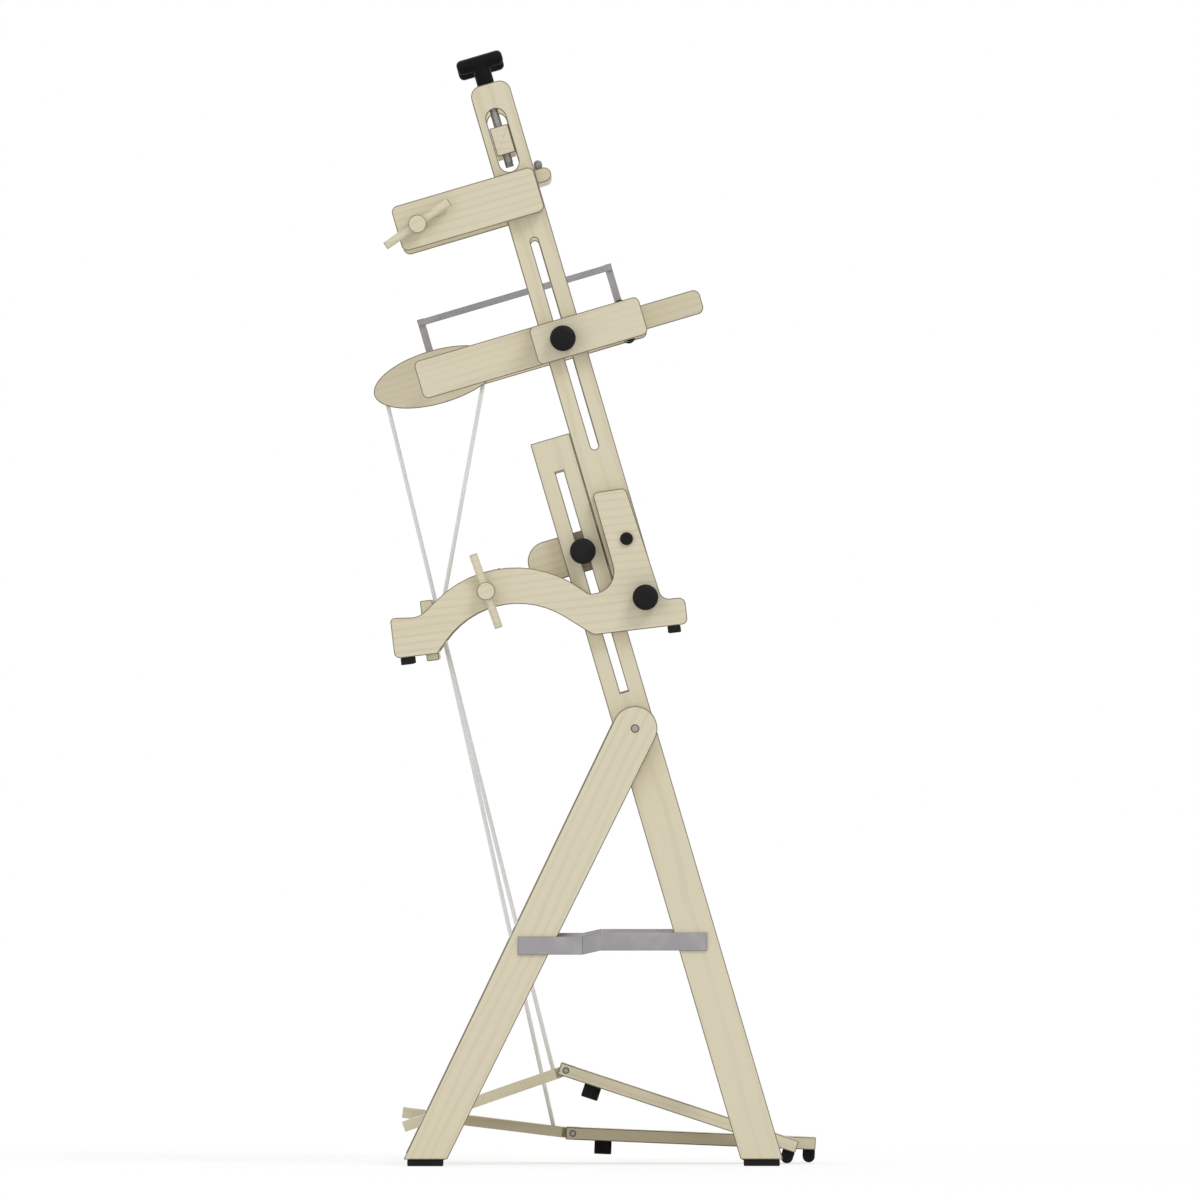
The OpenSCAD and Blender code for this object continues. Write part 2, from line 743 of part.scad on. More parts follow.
// Flat steel crank with a round eye on its shaft
module crank(y) {
  difference() {
    slab(crank_x, crank_t) {
      translate([y, shed_h]) circle(d = crank_eye_d);
      translate([y - crank_w / 2, shed_h]) square([crank_w, crank_l + crank_w / 2]);
    }
    bar(crank_x - over, crank_x + crank_t + over, [y, shed_h], shaft_d);
    bar(crank_x - over, crank_x + crank_t + over, [y, shed_h + crank_l], pin_d + 2 * play);
  }
}

module front_crank() {
  color(steel) lean() crank(rocker_y);
}

module rear_crank() {
  color(steel) lean() crank(cam_y);
}

// Flat link; its rear pin runs in the rear crank and its front pin has an eye with clearance
module shed_link() {
  z = shed_h + crank_l;
  color(steel) lean() {
    slab(link_x, link_t) translate([rocker_y - link_w / 2, z - link_w / 2]) square([link_l + link_w, link_w]);
    bar(link_x + link_t, crank_x + crank_t, [cam_y, z], pin_d);
    bar(link_x + link_t, crank_x + crank_t, [rocker_y, z], pin_d - 2 * play);
  }
}

module cam_shaft() {
  end = inner_x + shaft_seat - gap;
  color(maple) lean() bar(-end, end, [cam_y, shed_h], shaft_d);
}

// Oval rocker in the middle of the rear shaft, with a hole near each end for its cord
module cord_rocker() {
  color(maple) lean() difference() {
    slab(-cam_t / 2, cam_t) translate([cam_y, shed_h]) oval(cam_l / 2, cam_h / 2);
    bar(-cam_t, cam_t, [cam_y, shed_h], shaft_d);
    for (c = [rear_cord_top, front_cord_top]) translate([0, c[0], c[1]]) rotate([c[2], 0, 0])
      translate([0, 0, -3 * cord_pocket]) cylinder(d = cord_pocket_d, h = 4 * cord_pocket);
  }
}

module oval(a, b) {
  polygon([for (i = [0:71]) [a * cos(5 * i), b * sin(5 * i)]]);
}

// Treadles

module at_treadle(side, slope) {
  x = side == "left" ? -treadle_x : treadle_x;
  translate([x, rod_y, rod_h]) rotate([-slope, 0, 0]) children();
}

function slope_of(side) = side == "left" ? raised_slope : lowered_slope;
function cord_foot_of(side) = side == "left" ? left_cord_foot : right_cord_foot;

// Arm with a tongue that the pedal's cheeks straddle
module treadle_arm(side) {
  tongue = treadle_w / 2 - cheek_w - gap;
  color(maple) at_treadle(side, slope_of(side)) difference() {
    union() {
      translate([-treadle_w / 2, -arm_l + shoulder_in, -arm_t / 2])
        cube([treadle_w, arm_l - shoulder_in + arm_tail, arm_t]);
      translate([-tongue, -arm_l, -arm_t / 2]) cube([2 * tongue, shoulder_in, arm_t]);
      bar(-tongue, tongue, [-arm_l, 0], arm_t);
    }
    bar(-treadle_w, treadle_w, [0, 0], rod_d + 2 * play);
    bar(-treadle_w, treadle_w, [-arm_l, 0], knee_d + 2 * play);
    translate([0, -cord_foot_of(side), arm_t / 2 - cord_pocket])
      cylinder(d = cord_pocket_d, h = 2 * cord_pocket);
  }
}

module at_knee(side) {
  at_treadle(side, slope_of(side)) translate([0, -arm_l, 0])
    rotate([slope_of(side) + pedal_slope(slope_of(side)), 0, 0]) children();
}

module pedal(side) {
  slot = treadle_w / 2 - cheek_w;
  color(maple) at_knee(side) difference() {
    translate([-treadle_w / 2, knee_in - pedal_l, -pedal_t / 2]) cube([treadle_w, pedal_l, pedal_t]);
    translate([-slot, -knee_in, -pedal_t]) cube([2 * slot, 3 * knee_in, 2 * pedal_t]);
    bar(-treadle_w, treadle_w, [0, 0], knee_d);
  }
}

module knee_pins(side) {
  color(steel) at_knee(side) bar(-treadle_w / 2 + pin_recess, treadle_w / 2 - pin_recess, [0, 0], knee_d);
}

// Rubber block and round rubber toe under a pedal
module pedal_rubbers(side) {
  toe_y = -toe_reach;
  color(rubber_black) at_knee(side) {
    translate([-bumper[0] / 2, knee_in - bumper_in - bumper[1], -pedal_t / 2 - bumper[2]]) cube(bumper);
    translate([-toe_l / 2, toe_y - toe_w / 2, -toe_drop]) cube([toe_l, toe_w, toe_drop - pedal_t / 2]);
    bar(-toe_l / 2, toe_l / 2, [toe_y, -toe_drop], toe_w);
  }
}

// Top beam and its tension

module top_beam() {
  low = [window_y - tenon_w / 2, tenon_z - tenon_h / 2];
  high = [window_y + tenon_w / 2, tenon_z + tenon_h / 2];
  color(maple) lean() difference() {
    slab(-rail_out, 2 * rail_out) soft_rect(low, high, tenon_r);
    both_sides() translate([rail_x + board_t / 2, window_y, screw_end - over])
      cylinder(d = screw_d + 2 * play, h = 2 * tenon_h);
  }
}

// T-shaped knob on its screw
module tension_knob(side) {
  r = t_bar_d / 2;
  end_r = r - t_bar_flat;
  end_arc = [for (a = [0:15:90]) [t_bar_flat + end_r * cos(a), end_r * sin(a)]];
  half_bar = concat([[0, 0], [r, 0]], [for (p = end_arc) p + [0, t_bar_l / 2 - end_r]], [[0, t_bar_l / 2]]);
  color(black) on_side(side) lean() translate([rail_x + board_t / 2, window_y, 0]) {
    translate([0, 0, screw_end]) cylinder(d = screw_d, h = upright_top - screw_end + over);
    translate([0, 0, upright_top + gap]) cylinder(d = t_stem_d, h = t_bar_z - upright_top);
    translate([0, 0, t_bar_z]) for (a = [-90, 90]) rotate([a, 0, 0]) rotate_extrude() polygon(half_bar);
  }
}

// Clamp knobs

module clamp_knob(side, at, face) {
  r = knob_d / 2;
  x0 = face + knob_gap;
  top = knob_hub + knob_h;
  color(black) on_side(side) lean() translate([x0, at[0], at[1]]) rotate([0, 90, 0]) rotate_extrude() polygon(
    concat(
      [[stud_d / 2 + play, 0], [knob_hub_d / 2, 0], [knob_hub_d / 2, knob_hub]],
      [[r - knob_edge, knob_hub], [r, knob_hub + knob_edge]],
      [for (a = [0:15:90]) [r, top - knob_crown] + knob_round * [cos(a) - 1, sin(a) - 1]],
      [[0, top], [0, knob_socket], [stud_d / 2 + play, knob_socket]]
    )
  );
}

// Beams

// Roller with its journals; the left one ends in a post with a wooden cross handle
module roller(at, handle_turn) {
  post = [-outer_end - handle_post_l, -outer_end - gap];
  color(maple) lean() translate([0, at[0], at[1]]) {
    bar(-outer_x + ratchet_x + ratchet_t + gap, outer_x - gap, [0, 0], roller_d);
    bar(post[1] - over, outer_end, [0, 0], journal_d);
    bar(post[0], post[1], [0, 0], handle_post_d);
    translate([(post[0] + post[1]) / 2, 0, 0]) rotate([handle_turn - 90, 0, 0])
      translate([0, 0, -handle_l / 2]) cylinder(d = handle_d, h = handle_l);
  }
}

// Toothed wheel beside the roller's left end, turned so that its pawl can drop in
module ratchet(at, pawl_at) {
  r = ratchet_d / 2;
  pitch = 360 / ratchet_teeth;
  teeth = [for (i = [0:ratchet_teeth - 1]) each [
    turned([r, 0], -i * pitch),
    turned([r - tooth_h / 2, 0], -(i + 0.55) * pitch),
    turned([r - tooth_h, 0], -(i + 0.97) * pitch)
  ]];
  color(steel) lean() translate([0, at[0], at[1]]) difference() {
    slab(-outer_x + ratchet_x, ratchet_t) rotate(bearing(at - pawl_at) + pawl_face_turn) polygon(teeth);
    bar(-outer_x, -rail_x, [0, 0], journal_d);
  }
}

// Pawl on its screw, shown lifted clear of the teeth that it drops onto
module pawl(at, beam_at) {
  hook = concat(
    [for (a = [105:15:345]) pawl_eye_r * [cos(a), sin(a)]],
    [[10, 3], [14, 4.2], [pawl_l - 3.5, 3.6], [pawl_l - 1.8, 0.3], [pawl_l, 0], [pawl_l - 3, 7.5], [14, 9.5]]
  );
  color(steel) lean() translate([0, at[0], at[1]]) difference() {
    slab(-outer_x + ratchet_x, ratchet_t) rotate(bearing(beam_at - at) + pawl_lift) polygon(hook);
    bar(-outer_x, -rail_x, [0, 0], pawl_screw_d + 2 * play);
  }
}

function bearing(v) = atan2(v[1], v[0]);

// Cords

module rear_cord() {
  color(cord_white) swept(rear_cord_path, cord_d, cord_sides);
}

module front_cord() {
  color(cord_white) swept(front_cord_path, cord_d, cord_sides);
}

long_leg("left");  // long_leg_left
long_leg("right");  // long_leg_right
short_leg("left");  // short_leg_left
short_leg("right");  // short_leg_right
leg_straps();
stand_bolts();
leg_stretchers();
leg_pads();
treadle_rod();
upright("left");  // upright_left
upright("right");  // upright_right
loom_foot("left");  // foot_left
loom_foot("right");  // foot_right
foot_pads();
stand_brackets();
beam_arms();
bolt_caps();
frame_bolts();
bottom_beam();
spring_board();
warp_spring();
crossbar();
cord_guides();
shed_brackets();
inner_arms();
shed_bolts();
shed_handle();
heddle_rocker();
heddle_rods();
heddle_rod_caps();
front_crank();
cam_shaft();
cord_rocker();
rear_crank();
shed_link();
treadle_arm("left");  // treadle_arm_left
treadle_arm("right");  // treadle_arm_right
pedal("left");  // pedal_left
pedal("right");  // pedal_right
knee_pins("left");  // knee_pins_left
knee_pins("right");  // knee_pins_right
pedal_rubbers("left");  // pedal_rubbers_left
pedal_rubbers("right");  // pedal_rubbers_right
top_beam();
tension_knob("left");  // tension_knob_left
tension_knob("right");  // tension_knob_right
clamp_knob("left", [upright_y, shed_h], shed_plate_x + board_t);  // shed_knob_left
clamp_knob("right", [upright_y, shed_h], shed_plate_x + board_t);  // shed_knob_right
clamp_knob("left", leg_bolt_at, rail_out);  // leg_knob_left
clamp_knob("right", leg_bolt_at, rail_out);  // leg_knob_right
clamp_knob("left", foot_bolt_at, outer_end);  // foot_knob_left
clamp_knob("right", foot_bolt_at, outer_end);  // foot_knob_right
roller(warp_beam_at, warp_handle_turn);  // warp_roller
ratchet(warp_beam_at, warp_pawl_at);  // warp_ratchet
roller(foot_point(cloth_beam_at), cloth_handle_turn);  // cloth_roller
ratchet(foot_point(cloth_beam_at), foot_point(cloth_pawl_at));  // cloth_ratchet
pawl(warp_pawl_at, warp_beam_at);  // warp_pawl
pawl(foot_point(cloth_pawl_at), foot_point(cloth_beam_at));  // cloth_pawl
rear_cord();
front_cord();
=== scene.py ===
"""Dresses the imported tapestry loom: maple boards, steel shed linkage, wound spring, rubber pads and cords."""

import json
import logging
import math
from dataclasses import dataclass
from enum import Enum
from itertools import count
from typing import ClassVar, Iterator, Sequence

import bmesh
import bpy
from mathutils import Matrix, Vector


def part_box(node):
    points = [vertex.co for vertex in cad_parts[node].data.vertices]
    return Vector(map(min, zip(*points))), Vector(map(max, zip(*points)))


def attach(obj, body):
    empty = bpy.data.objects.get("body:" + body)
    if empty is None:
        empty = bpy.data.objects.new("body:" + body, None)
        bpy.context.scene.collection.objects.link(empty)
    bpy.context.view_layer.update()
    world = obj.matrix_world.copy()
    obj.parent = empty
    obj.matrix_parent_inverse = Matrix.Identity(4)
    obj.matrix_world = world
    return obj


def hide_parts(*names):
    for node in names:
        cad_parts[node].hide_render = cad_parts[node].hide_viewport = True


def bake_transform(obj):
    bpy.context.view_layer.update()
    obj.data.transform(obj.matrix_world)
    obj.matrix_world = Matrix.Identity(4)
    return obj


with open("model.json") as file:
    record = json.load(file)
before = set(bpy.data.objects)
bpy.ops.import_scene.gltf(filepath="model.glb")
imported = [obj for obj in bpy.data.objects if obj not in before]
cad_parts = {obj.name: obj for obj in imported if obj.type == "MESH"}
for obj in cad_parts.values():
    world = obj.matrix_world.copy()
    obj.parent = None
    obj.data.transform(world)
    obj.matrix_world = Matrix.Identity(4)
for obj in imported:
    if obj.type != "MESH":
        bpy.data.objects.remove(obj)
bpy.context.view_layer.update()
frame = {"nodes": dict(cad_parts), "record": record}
log = logging.getLogger("tapestry_loom")

Color = tuple[float, float, float, float]
Point = tuple[float, float, float]

MM = 0.001
X_AXIS = Vector((1.0, 0.0, 0.0))
WHITE = (1.0, 1.0, 1.0, 1.0)


# Frames of reference


@dataclass(frozen=True)
class Lean:
    """The leaning frame that the loom and the long legs share: y runs back, z runs up the leg.

    Args:
        pivot: Place of the stand's pivot in the Y-Z plane, in metres.
        angle: Angle by which the legs lean back, in radians.
    """

    pivot: tuple[float, float] = (-48.1 * MM, 507.5 * MM)
    angle: float = math.radians(16.4)

    def matrix(self) -> Matrix:
        """Matrix from the leaning frame to the row frame."""
        return Matrix.Translation((0, *self.pivot)) @ Matrix.Rotation(-self.angle, 4, "X")

    def up(self) -> Vector:
        """Direction up the leg."""
        return Vector((0, math.sin(self.angle), math.cos(self.angle)))

    def back(self) -> Vector:
        """Direction square to the leg, towards the back."""
        return Vector((0, math.cos(self.angle), -math.sin(self.angle)))


LEAN = Lean()


def sloped(degrees: float) -> Vector:
    """Direction in the Y-Z plane that runs back and up by this slope.

    Args:
        degrees: Slope above the horizon, towards the back.

    Returns:
        A unit vector.
    """
    slope = math.radians(degrees)
    return Vector((0, math.cos(slope), math.sin(slope)))


# Nodes


def add_node(tree: bpy.types.NodeTree, kind: str, **settings: object) -> bpy.types.Node:
    """Adds a node to a tree.

    Args:
        tree: The node tree.
        kind: The node's type name.
        settings: Properties of the node and their values.

    Returns:
        The new node.
    """
    node = tree.nodes.new(kind)
    for name, value in settings.items():
        setattr(node, name, value)
    return node


def feed(tree: bpy.types.NodeTree, value: object, socket: bpy.types.NodeSocket) -> None:
    """Joins a socket to another, or sets its default value.

    Args:
        tree: The node tree that holds both.
        value: An output socket, or a plain value.
        socket: The input socket.
    """
    if isinstance(value, bpy.types.NodeSocket):
        tree.links.new(value, socket)
    else:
        socket.default_value = value


def fill(tree: bpy.types.NodeTree, node: bpy.types.Node, **values: object) -> None:
    """Gives a node's inputs their values or links.

    Args:
        tree: The node tree that holds the node.
        node: The node.
        values: A value or an output socket for each input, with spaces in its name written as underscores.
    """
    for name, value in values.items():
        feed(tree, value, node.inputs[name.replace("_", " ")])


# Shader groups


@dataclass(frozen=True)
class Streak:
    """Noise that is drawn out along the grain of wood.

    Args:
        fineness: Its scale along the grain and across it both ways, per metre.
        detail: Number of its finer octaves.
        tone: How far it turns sapwood into latewood.
    """

    fineness: Point
    detail: float
    tone: float


SWAY = Streak((1.6, 9.0, 9.0), detail=1.0, tone=0.22)
BROAD = Streak((2.2, 26.0, 26.0), detail=2.0, tone=0.42)
FIBRE = Streak((9.0, 420.0, 420.0), detail=3.0, tone=0.34)
PORES = Streak((110.0, 1900.0, 1900.0), detail=1.0, tone=0.22)
RING_STRETCH = (0.16, 1.0, 1.0)


class ShaderGroup:
    """A shader node group under construction, with short ways to add and join its nodes."""

    def __init__(
        self, name: str, inputs: Sequence[tuple[str, str, object]], outputs: Sequence[tuple[str, str]]
    ) -> None:
        """Makes the tree and its sockets.

        Args:
            name: Name of the group.
            inputs: Name, socket type and default value of each input.
            outputs: Name and socket type of each output.
        """
        self.tree = bpy.data.node_groups.new(name, "ShaderNodeTree")
        for label, kind, value in inputs:
            socket = self.tree.interface.new_socket(label, in_out="INPUT", socket_type=kind)
            if value is not None:
                socket.default_value = value
        for label, kind in outputs:
            self.tree.interface.new_socket(label, in_out="OUTPUT", socket_type=kind)
        self.start = self.tree.nodes.new("NodeGroupInput")
        self.end = self.tree.nodes.new("NodeGroupOutput")

    def node(self, kind: str, **settings: object) -> bpy.types.Node:
        """Adds a node and sets its properties by name."""
        return add_node(self.tree, kind, **settings)

    def given(self, label: str) -> bpy.types.NodeSocket:
        """The socket of one of the group's inputs."""
        return self.start.outputs[label]

    def put_out(self, **results: bpy.types.NodeSocket) -> None:
        """Joins results to the group's outputs of the same names."""
        fill(self.tree, self.end, **results)

    def math(self, operation: str, *values: object) -> bpy.types.NodeSocket:
        """Adds a Math node.

        Args:
            operation: The node's operation.
            values: A socket or a number for each input, in order.

        Returns:
            The node's output socket.
        """
        node = self.node("ShaderNodeMath", operation=operation)
        for socket, value in zip(node.inputs, values):
            feed(self.tree, value, socket)
        return node.outputs[0]

    def centred(self, value: bpy.types.NodeSocket) -> bpy.types.NodeSocket:
        """Moves a value from 0 to 1 so that its middle is 0."""
        return self.math("SUBTRACT", value, 0.5)

    def noise(self, vector: bpy.types.NodeSocket, scale: float, detail: float) -> bpy.types.NodeSocket:
        """Adds a Noise Texture.

        Args:
            vector: Socket of the place where it is read.
            scale: Its fineness, per metre.
            detail: Number of its finer octaves.

        Returns:
            The socket of its value, from 0 to 1.
        """
        node = self.node("ShaderNodeTexNoise")
        fill(self.tree, node, Scale=scale, Detail=detail, Vector=vector)
        return node.outputs["Fac"]

    def stretched(self, vector: bpy.types.NodeSocket, scale: Point) -> bpy.types.NodeSocket:
        """Scales a vector along its three axes.

        Args:
            vector: The vector's socket.
            scale: Factor of each axis.

        Returns:
            The socket of the scaled vector.
        """
        node = self.node("ShaderNodeVectorMath", operation="MULTIPLY")
        feed(self.tree, vector, node.inputs[0])
        feed(self.tree, scale, node.inputs[1])
        return node.outputs[0]

    def streak(self, vector: bpy.types.NodeSocket, streak: Streak) -> bpy.types.NodeSocket:
        """Adds noise that is drawn out along the vector's X axis."""
        return self.noise(self.stretched(vector, streak.fineness), scale=1.0, detail=streak.detail)

    def ramp(self, value: bpy.types.NodeSocket, low: float, high: float) -> bpy.types.NodeSocket:
        """Maps a range onto 0 to 1, clamped and eased.

        Args:
            value: The value's socket.
            low: Value that gives 0.
            high: Value that gives 1.

        Returns:
            The socket of the mapped value.
        """
        node = self.node("ShaderNodeMapRange", interpolation_type="SMOOTHSTEP")
        fill(self.tree, node, Value=value, From_Min=low, From_Max=high)
        return node.outputs["Result"]

    def mix(self, share: object, first: object, second: object) -> bpy.types.NodeSocket:
        """Adds a colour mix.

        Args:
            share: Share of the second colour, as a socket or a number.
            first: First colour or its socket.
            second: Second colour or its socket.

        Returns:
            The socket of the mixed colour.
        """
        node = self.node("ShaderNodeMix", data_type="RGBA")
        feed(self.tree, share, node.inputs[0])
        feed(self.tree, first, node.inputs[6])
        feed(self.tree, second, node.inputs[7])
        return node.outputs[2]


def maple_figure() -> bpy.types.NodeTree:
    """Growth rings, fibre streaks and pores of hard maple, with the grain along the vector's X axis.

    Returns:
        The group's tree.
    """
    mean_roughness, fibre_roughness, pore_roughness = 0.42, 0.16, 0.12
    fibre_height, pore_depth = 0.5, 0.8
    group = ShaderGroup(
        "maple figure",
        [
            ("Vector", "NodeSocketVector", None),
            ("Sapwood", "NodeSocketColor", (0.66, 0.6, 0.44, 1)),
            ("Latewood", "NodeSocketColor", (0.5, 0.42, 0.27, 1)),
            ("Ring Depth", "NodeSocketFloat", 0.3),
        ],
        [("Color", "NodeSocketColor"), ("Roughness", "NodeSocketFloat"), ("Height", "NodeSocketFloat")],
    )
    vector = group.given("Vector")
    sway, broad, fibre = (group.streak(vector, streak) for streak in (SWAY, BROAD, FIBRE))
    pores = group.ramp(group.streak(vector, PORES), low=0.66, high=0.78)
    rings = group.node("ShaderNodeTexWave", wave_type="RINGS", rings_direction="X")
    fill(group.tree, rings, Scale=40.0, Distortion=5.0, Detail=2.0, Detail_Scale=0.7)
    fill(group.tree, rings, Vector=group.stretched(vector, RING_STRETCH))
    ring_line = group.ramp(rings.outputs["Fac"], low=0.55, high=1.0)
    tone = group.math("MULTIPLY", ring_line, group.given("Ring Depth"))
    for streak, value in ((FIBRE, fibre), (BROAD, broad), (SWAY, sway)):
        tone = group.math("MULTIPLY_ADD", group.centred(value), streak.tone, tone)
    tone = group.math("MULTIPLY_ADD", pores, PORES.tone, tone)
    share = group.node("ShaderNodeClamp")
    fill(group.tree, share, Value=tone)
    rough = group.math("MULTIPLY_ADD", fibre, fibre_roughness, mean_roughness)
    raised = group.math("MULTIPLY", fibre, fibre_height)
    group.put_out(
        Color=group.mix(share.outputs[0], group.given("Sapwood"), group.given("Latewood")),
        Roughness=group.math("MULTIPLY_ADD", pores, pore_roughness, rough),
        Height=group.math("SUBTRACT", raised, group.math("MULTIPLY", pores, pore_depth)),
    )
    return group.tree


def handling_wear() -> bpy.types.NodeTree:
    """Faint rubs, specks and a fine tooth for metal, plastic and rubber.

    Returns:
        The group's tree.
    """
    tooth_roughness, rub_roughness = 0.18, 0.15
    group = ShaderGroup(
        "handling wear",
        [
            ("Vector", "NodeSocketVector", None),
            ("Color", "NodeSocketColor", (0.5, 0.5, 0.5, 1)),
            ("Rubbed", "NodeSocketColor", (0.6, 0.6, 0.6, 1)),
            ("Tooth Size", "NodeSocketFloat", 1500.0),
            ("Amount", "NodeSocketFloat", 0.3),
            ("Roughness", "NodeSocketFloat", 0.4),
        ],
        [("Color", "NodeSocketColor"), ("Roughness", "NodeSocketFloat"), ("Height", "NodeSocketFloat")],
    )
    vector = group.given("Vector")
    scaled = group.node("ShaderNodeVectorMath", operation="SCALE")
    feed(group.tree, vector, scaled.inputs[0])
    fill(group.tree, scaled, Scale=group.given("Tooth Size"))
    tooth = group.noise(scaled.outputs[0], scale=1.0, detail=2.0)
    cloud = group.ramp(group.noise(vector, scale=46.0, detail=4.0), low=0.42, high=0.72)
    speck = group.ramp(group.noise(vector, scale=640.0, detail=1.0), low=0.72, high=0.8)
    rub = group.math("MULTIPLY", group.math("MAXIMUM", cloud, speck), group.given("Amount"))
    rough = group.math("MULTIPLY_ADD", group.centred(tooth), tooth_roughness, group.given("Roughness"))
    group.put_out(
        Color=group.mix(rub, group.given("Color"), group.given("Rubbed")),
        Roughness=group.math("MULTIPLY_ADD", rub, rub_roughness, rough),
        Height=tooth,
    )
    return group.tree


def braid_pattern() -> bpy.types.NodeTree:
    """Crossed yarns of a braided cord, on a UV map whose U goes round and V runs along in diameters.

    Returns:
        The group's tree.
    """
    turns_along = 1.3
    group = ShaderGroup(
        "braid pattern",
        [
            ("UV", "NodeSocketVector", None),
            ("Yarn", "NodeSocketColor", (0.8, 0.8, 0.81, 1)),
            ("Groove", "NodeSocketColor", (0.5, 0.5, 0.52, 1)),
            ("Yarns Around", "NodeSocketFloat", 4.0),
        ],
        [("Color", "NodeSocketColor"), ("Height", "NodeSocketFloat")],
    )
    split = group.node("ShaderNodeSeparateXYZ")
    feed(group.tree, group.given("UV"), split.inputs[0])
    around = group.math("MULTIPLY", split.outputs[0], group.given("Yarns Around"))
    waves = []
    for slope in (turns_along, -turns_along):
        phase = group.math("MULTIPLY_ADD", split.outputs[1], slope, around)
        waves.append(group.math("SINE", group.math("MULTIPLY", phase, 2 * math.pi)))
    crossed = group.math("ABSOLUTE", group.math("MULTIPLY", *waves))
    lift = group.ramp(crossed, low=0.0, high=0.45)
    # The Groove colour is painted shade in the gaps where the yarns sink; the Height gives their real bump.
    group.put_out(Color=group.mix(lift, group.given("Groove"), group.given("Yarn")), Height=lift)
    return group.tree


MAPLE_FIGURE = maple_figure()
HANDLING_WEAR = handling_wear()
BRAID_PATTERN = braid_pattern()


# Finishes


def bare_material(name: str) -> tuple[bpy.types.Material, bpy.types.Node]:
    """Makes a node material that holds only a Principled shader.

    Args:
        name: Name of the material.

    Returns:
        The material and its shader node.
    """
    material = bpy.data.materials.new(name)
    material.use_nodes = True
    return material, material.node_tree.nodes["Principled BSDF"]


def place_group(material: bpy.types.Material, tree: bpy.types.NodeTree, **values: object) -> bpy.types.Node:
    """Puts a node group in a material.

    Args:
        material: The material.
        tree: The group's tree.
        values: Values of the group's inputs, with spaces in their names written as underscores.

    Returns:
        The group's node.
    """
    node = add_node(material.node_tree, "ShaderNodeGroup", node_tree=tree)
    fill(material.node_tree, node, **values)
    return node


def join_surface(
    material: bpy.types.Material, shader: bpy.types.Node, look: bpy.types.Node, depth: float, distance: float
) -> None:
    """Joins a group's colour, roughness and height to the shader.

    Args:
        material: The material.
        shader: Its Principled node.
        look: The group's node.
        depth: Strength of the bump.
        distance: Height of the bump, in metres.
    """
    tree = material.node_tree
    bump = add_node(tree, "ShaderNodeBump")
    fill(tree, bump, Strength=depth, Distance=distance, Height=look.outputs["Height"])
    fill(tree, shader, Base_Color=look.outputs["Color"], Normal=bump.outputs["Normal"])
    if "Roughness" in look.outputs:
        fill(tree, shader, Roughness=look.outputs["Roughness"])


@dataclass(frozen=True)
class Maple:
    """Oiled hard maple with its grain along one direction.

    Args:
        name: Name of the board that it is for.
        grain: Direction of the grain in the row frame.
        seed: Moves the figure, so that no two boards look the same.
        eased: True for a board's eased corners, whose darker colours are painted shade that outlines its edges.
        sapwood: Colour of the pale wood.
        latewood: Colour of the growth rings and streaks.
        corner: Colour of the pale wood on an eased corner, darkened as painted edge shade.
        corner_latewood: Colour of the rings and streaks there.
        ring_depth: How dark the growth rings are at least.
        ring_step: How much darker they are from one seed to the next.
        log_step: Distance along the log from one board to the next, in metres.
        heart_distance: Least distance from the heart of the log, in metres.
        heart_step: Step by which that distance grows, in metres.
        side_step: Step to the side of the heart, in metres.
    """

    name: str
    grain: Point
    seed: int
    eased: bool = False
    sapwood: Color = (0.68, 0.622, 0.458, 1.0)
    latewood: Color = (0.5, 0.43, 0.285, 1.0)
    corner: Color = (0.2, 0.172, 0.118, 1.0)
    corner_latewood: Color = (0.15, 0.126, 0.084, 1.0)
    ring_depth: float = 0.17
    ring_step: float = 0.03
    log_step: float = 0.37
    heart_distance: float = 0.06
    heart_step: float = 0.011
    side_step: float = 0.043

    def place_in_log(self) -> Point:
        """Place in the log that this board is sawn from.

        Returns:
            Distances along the log, from its heart and to the side, in metres.
        """
        from_heart = self.heart_distance + self.heart_step * (self.seed % 5)
        return (self.log_step * self.seed, from_heart, self.side_step * (self.seed % 3))

    def material(self) -> bpy.types.Material:
        """Builds the material.

        Returns:
            The material.
        """
        material, shader = bare_material(("Maple_edge_shade_" if self.eased else "Maple_") + self.name)
        tree = material.node_tree
        place = add_node(tree, "ShaderNodeTexCoord")
        turn = add_node(tree, "ShaderNodeMapping")
        along = Vector(self.grain).rotation_difference(X_AXIS).to_euler()
        fill(tree, turn, Rotation=along, Location=self.place_in_log(), Vector=place.outputs["Object"])
        # On an eased corner the pale wood and rings take darker colours: painted shade along the edges.
        look = place_group(
            material,
            MAPLE_FIGURE,
            Vector=turn.outputs["Vector"],
            Sapwood=self.corner if self.eased else self.sapwood,
            Latewood=self.corner_latewood if self.eased else self.latewood,
            Ring_Depth=self.ring_depth + self.ring_step * (self.seed % 4),
        )
        join_surface(material, shader, look, depth=0.2, distance=0.3 * MM)
        fill(tree, shader, Specular_IOR_Level=0.35)
        return material


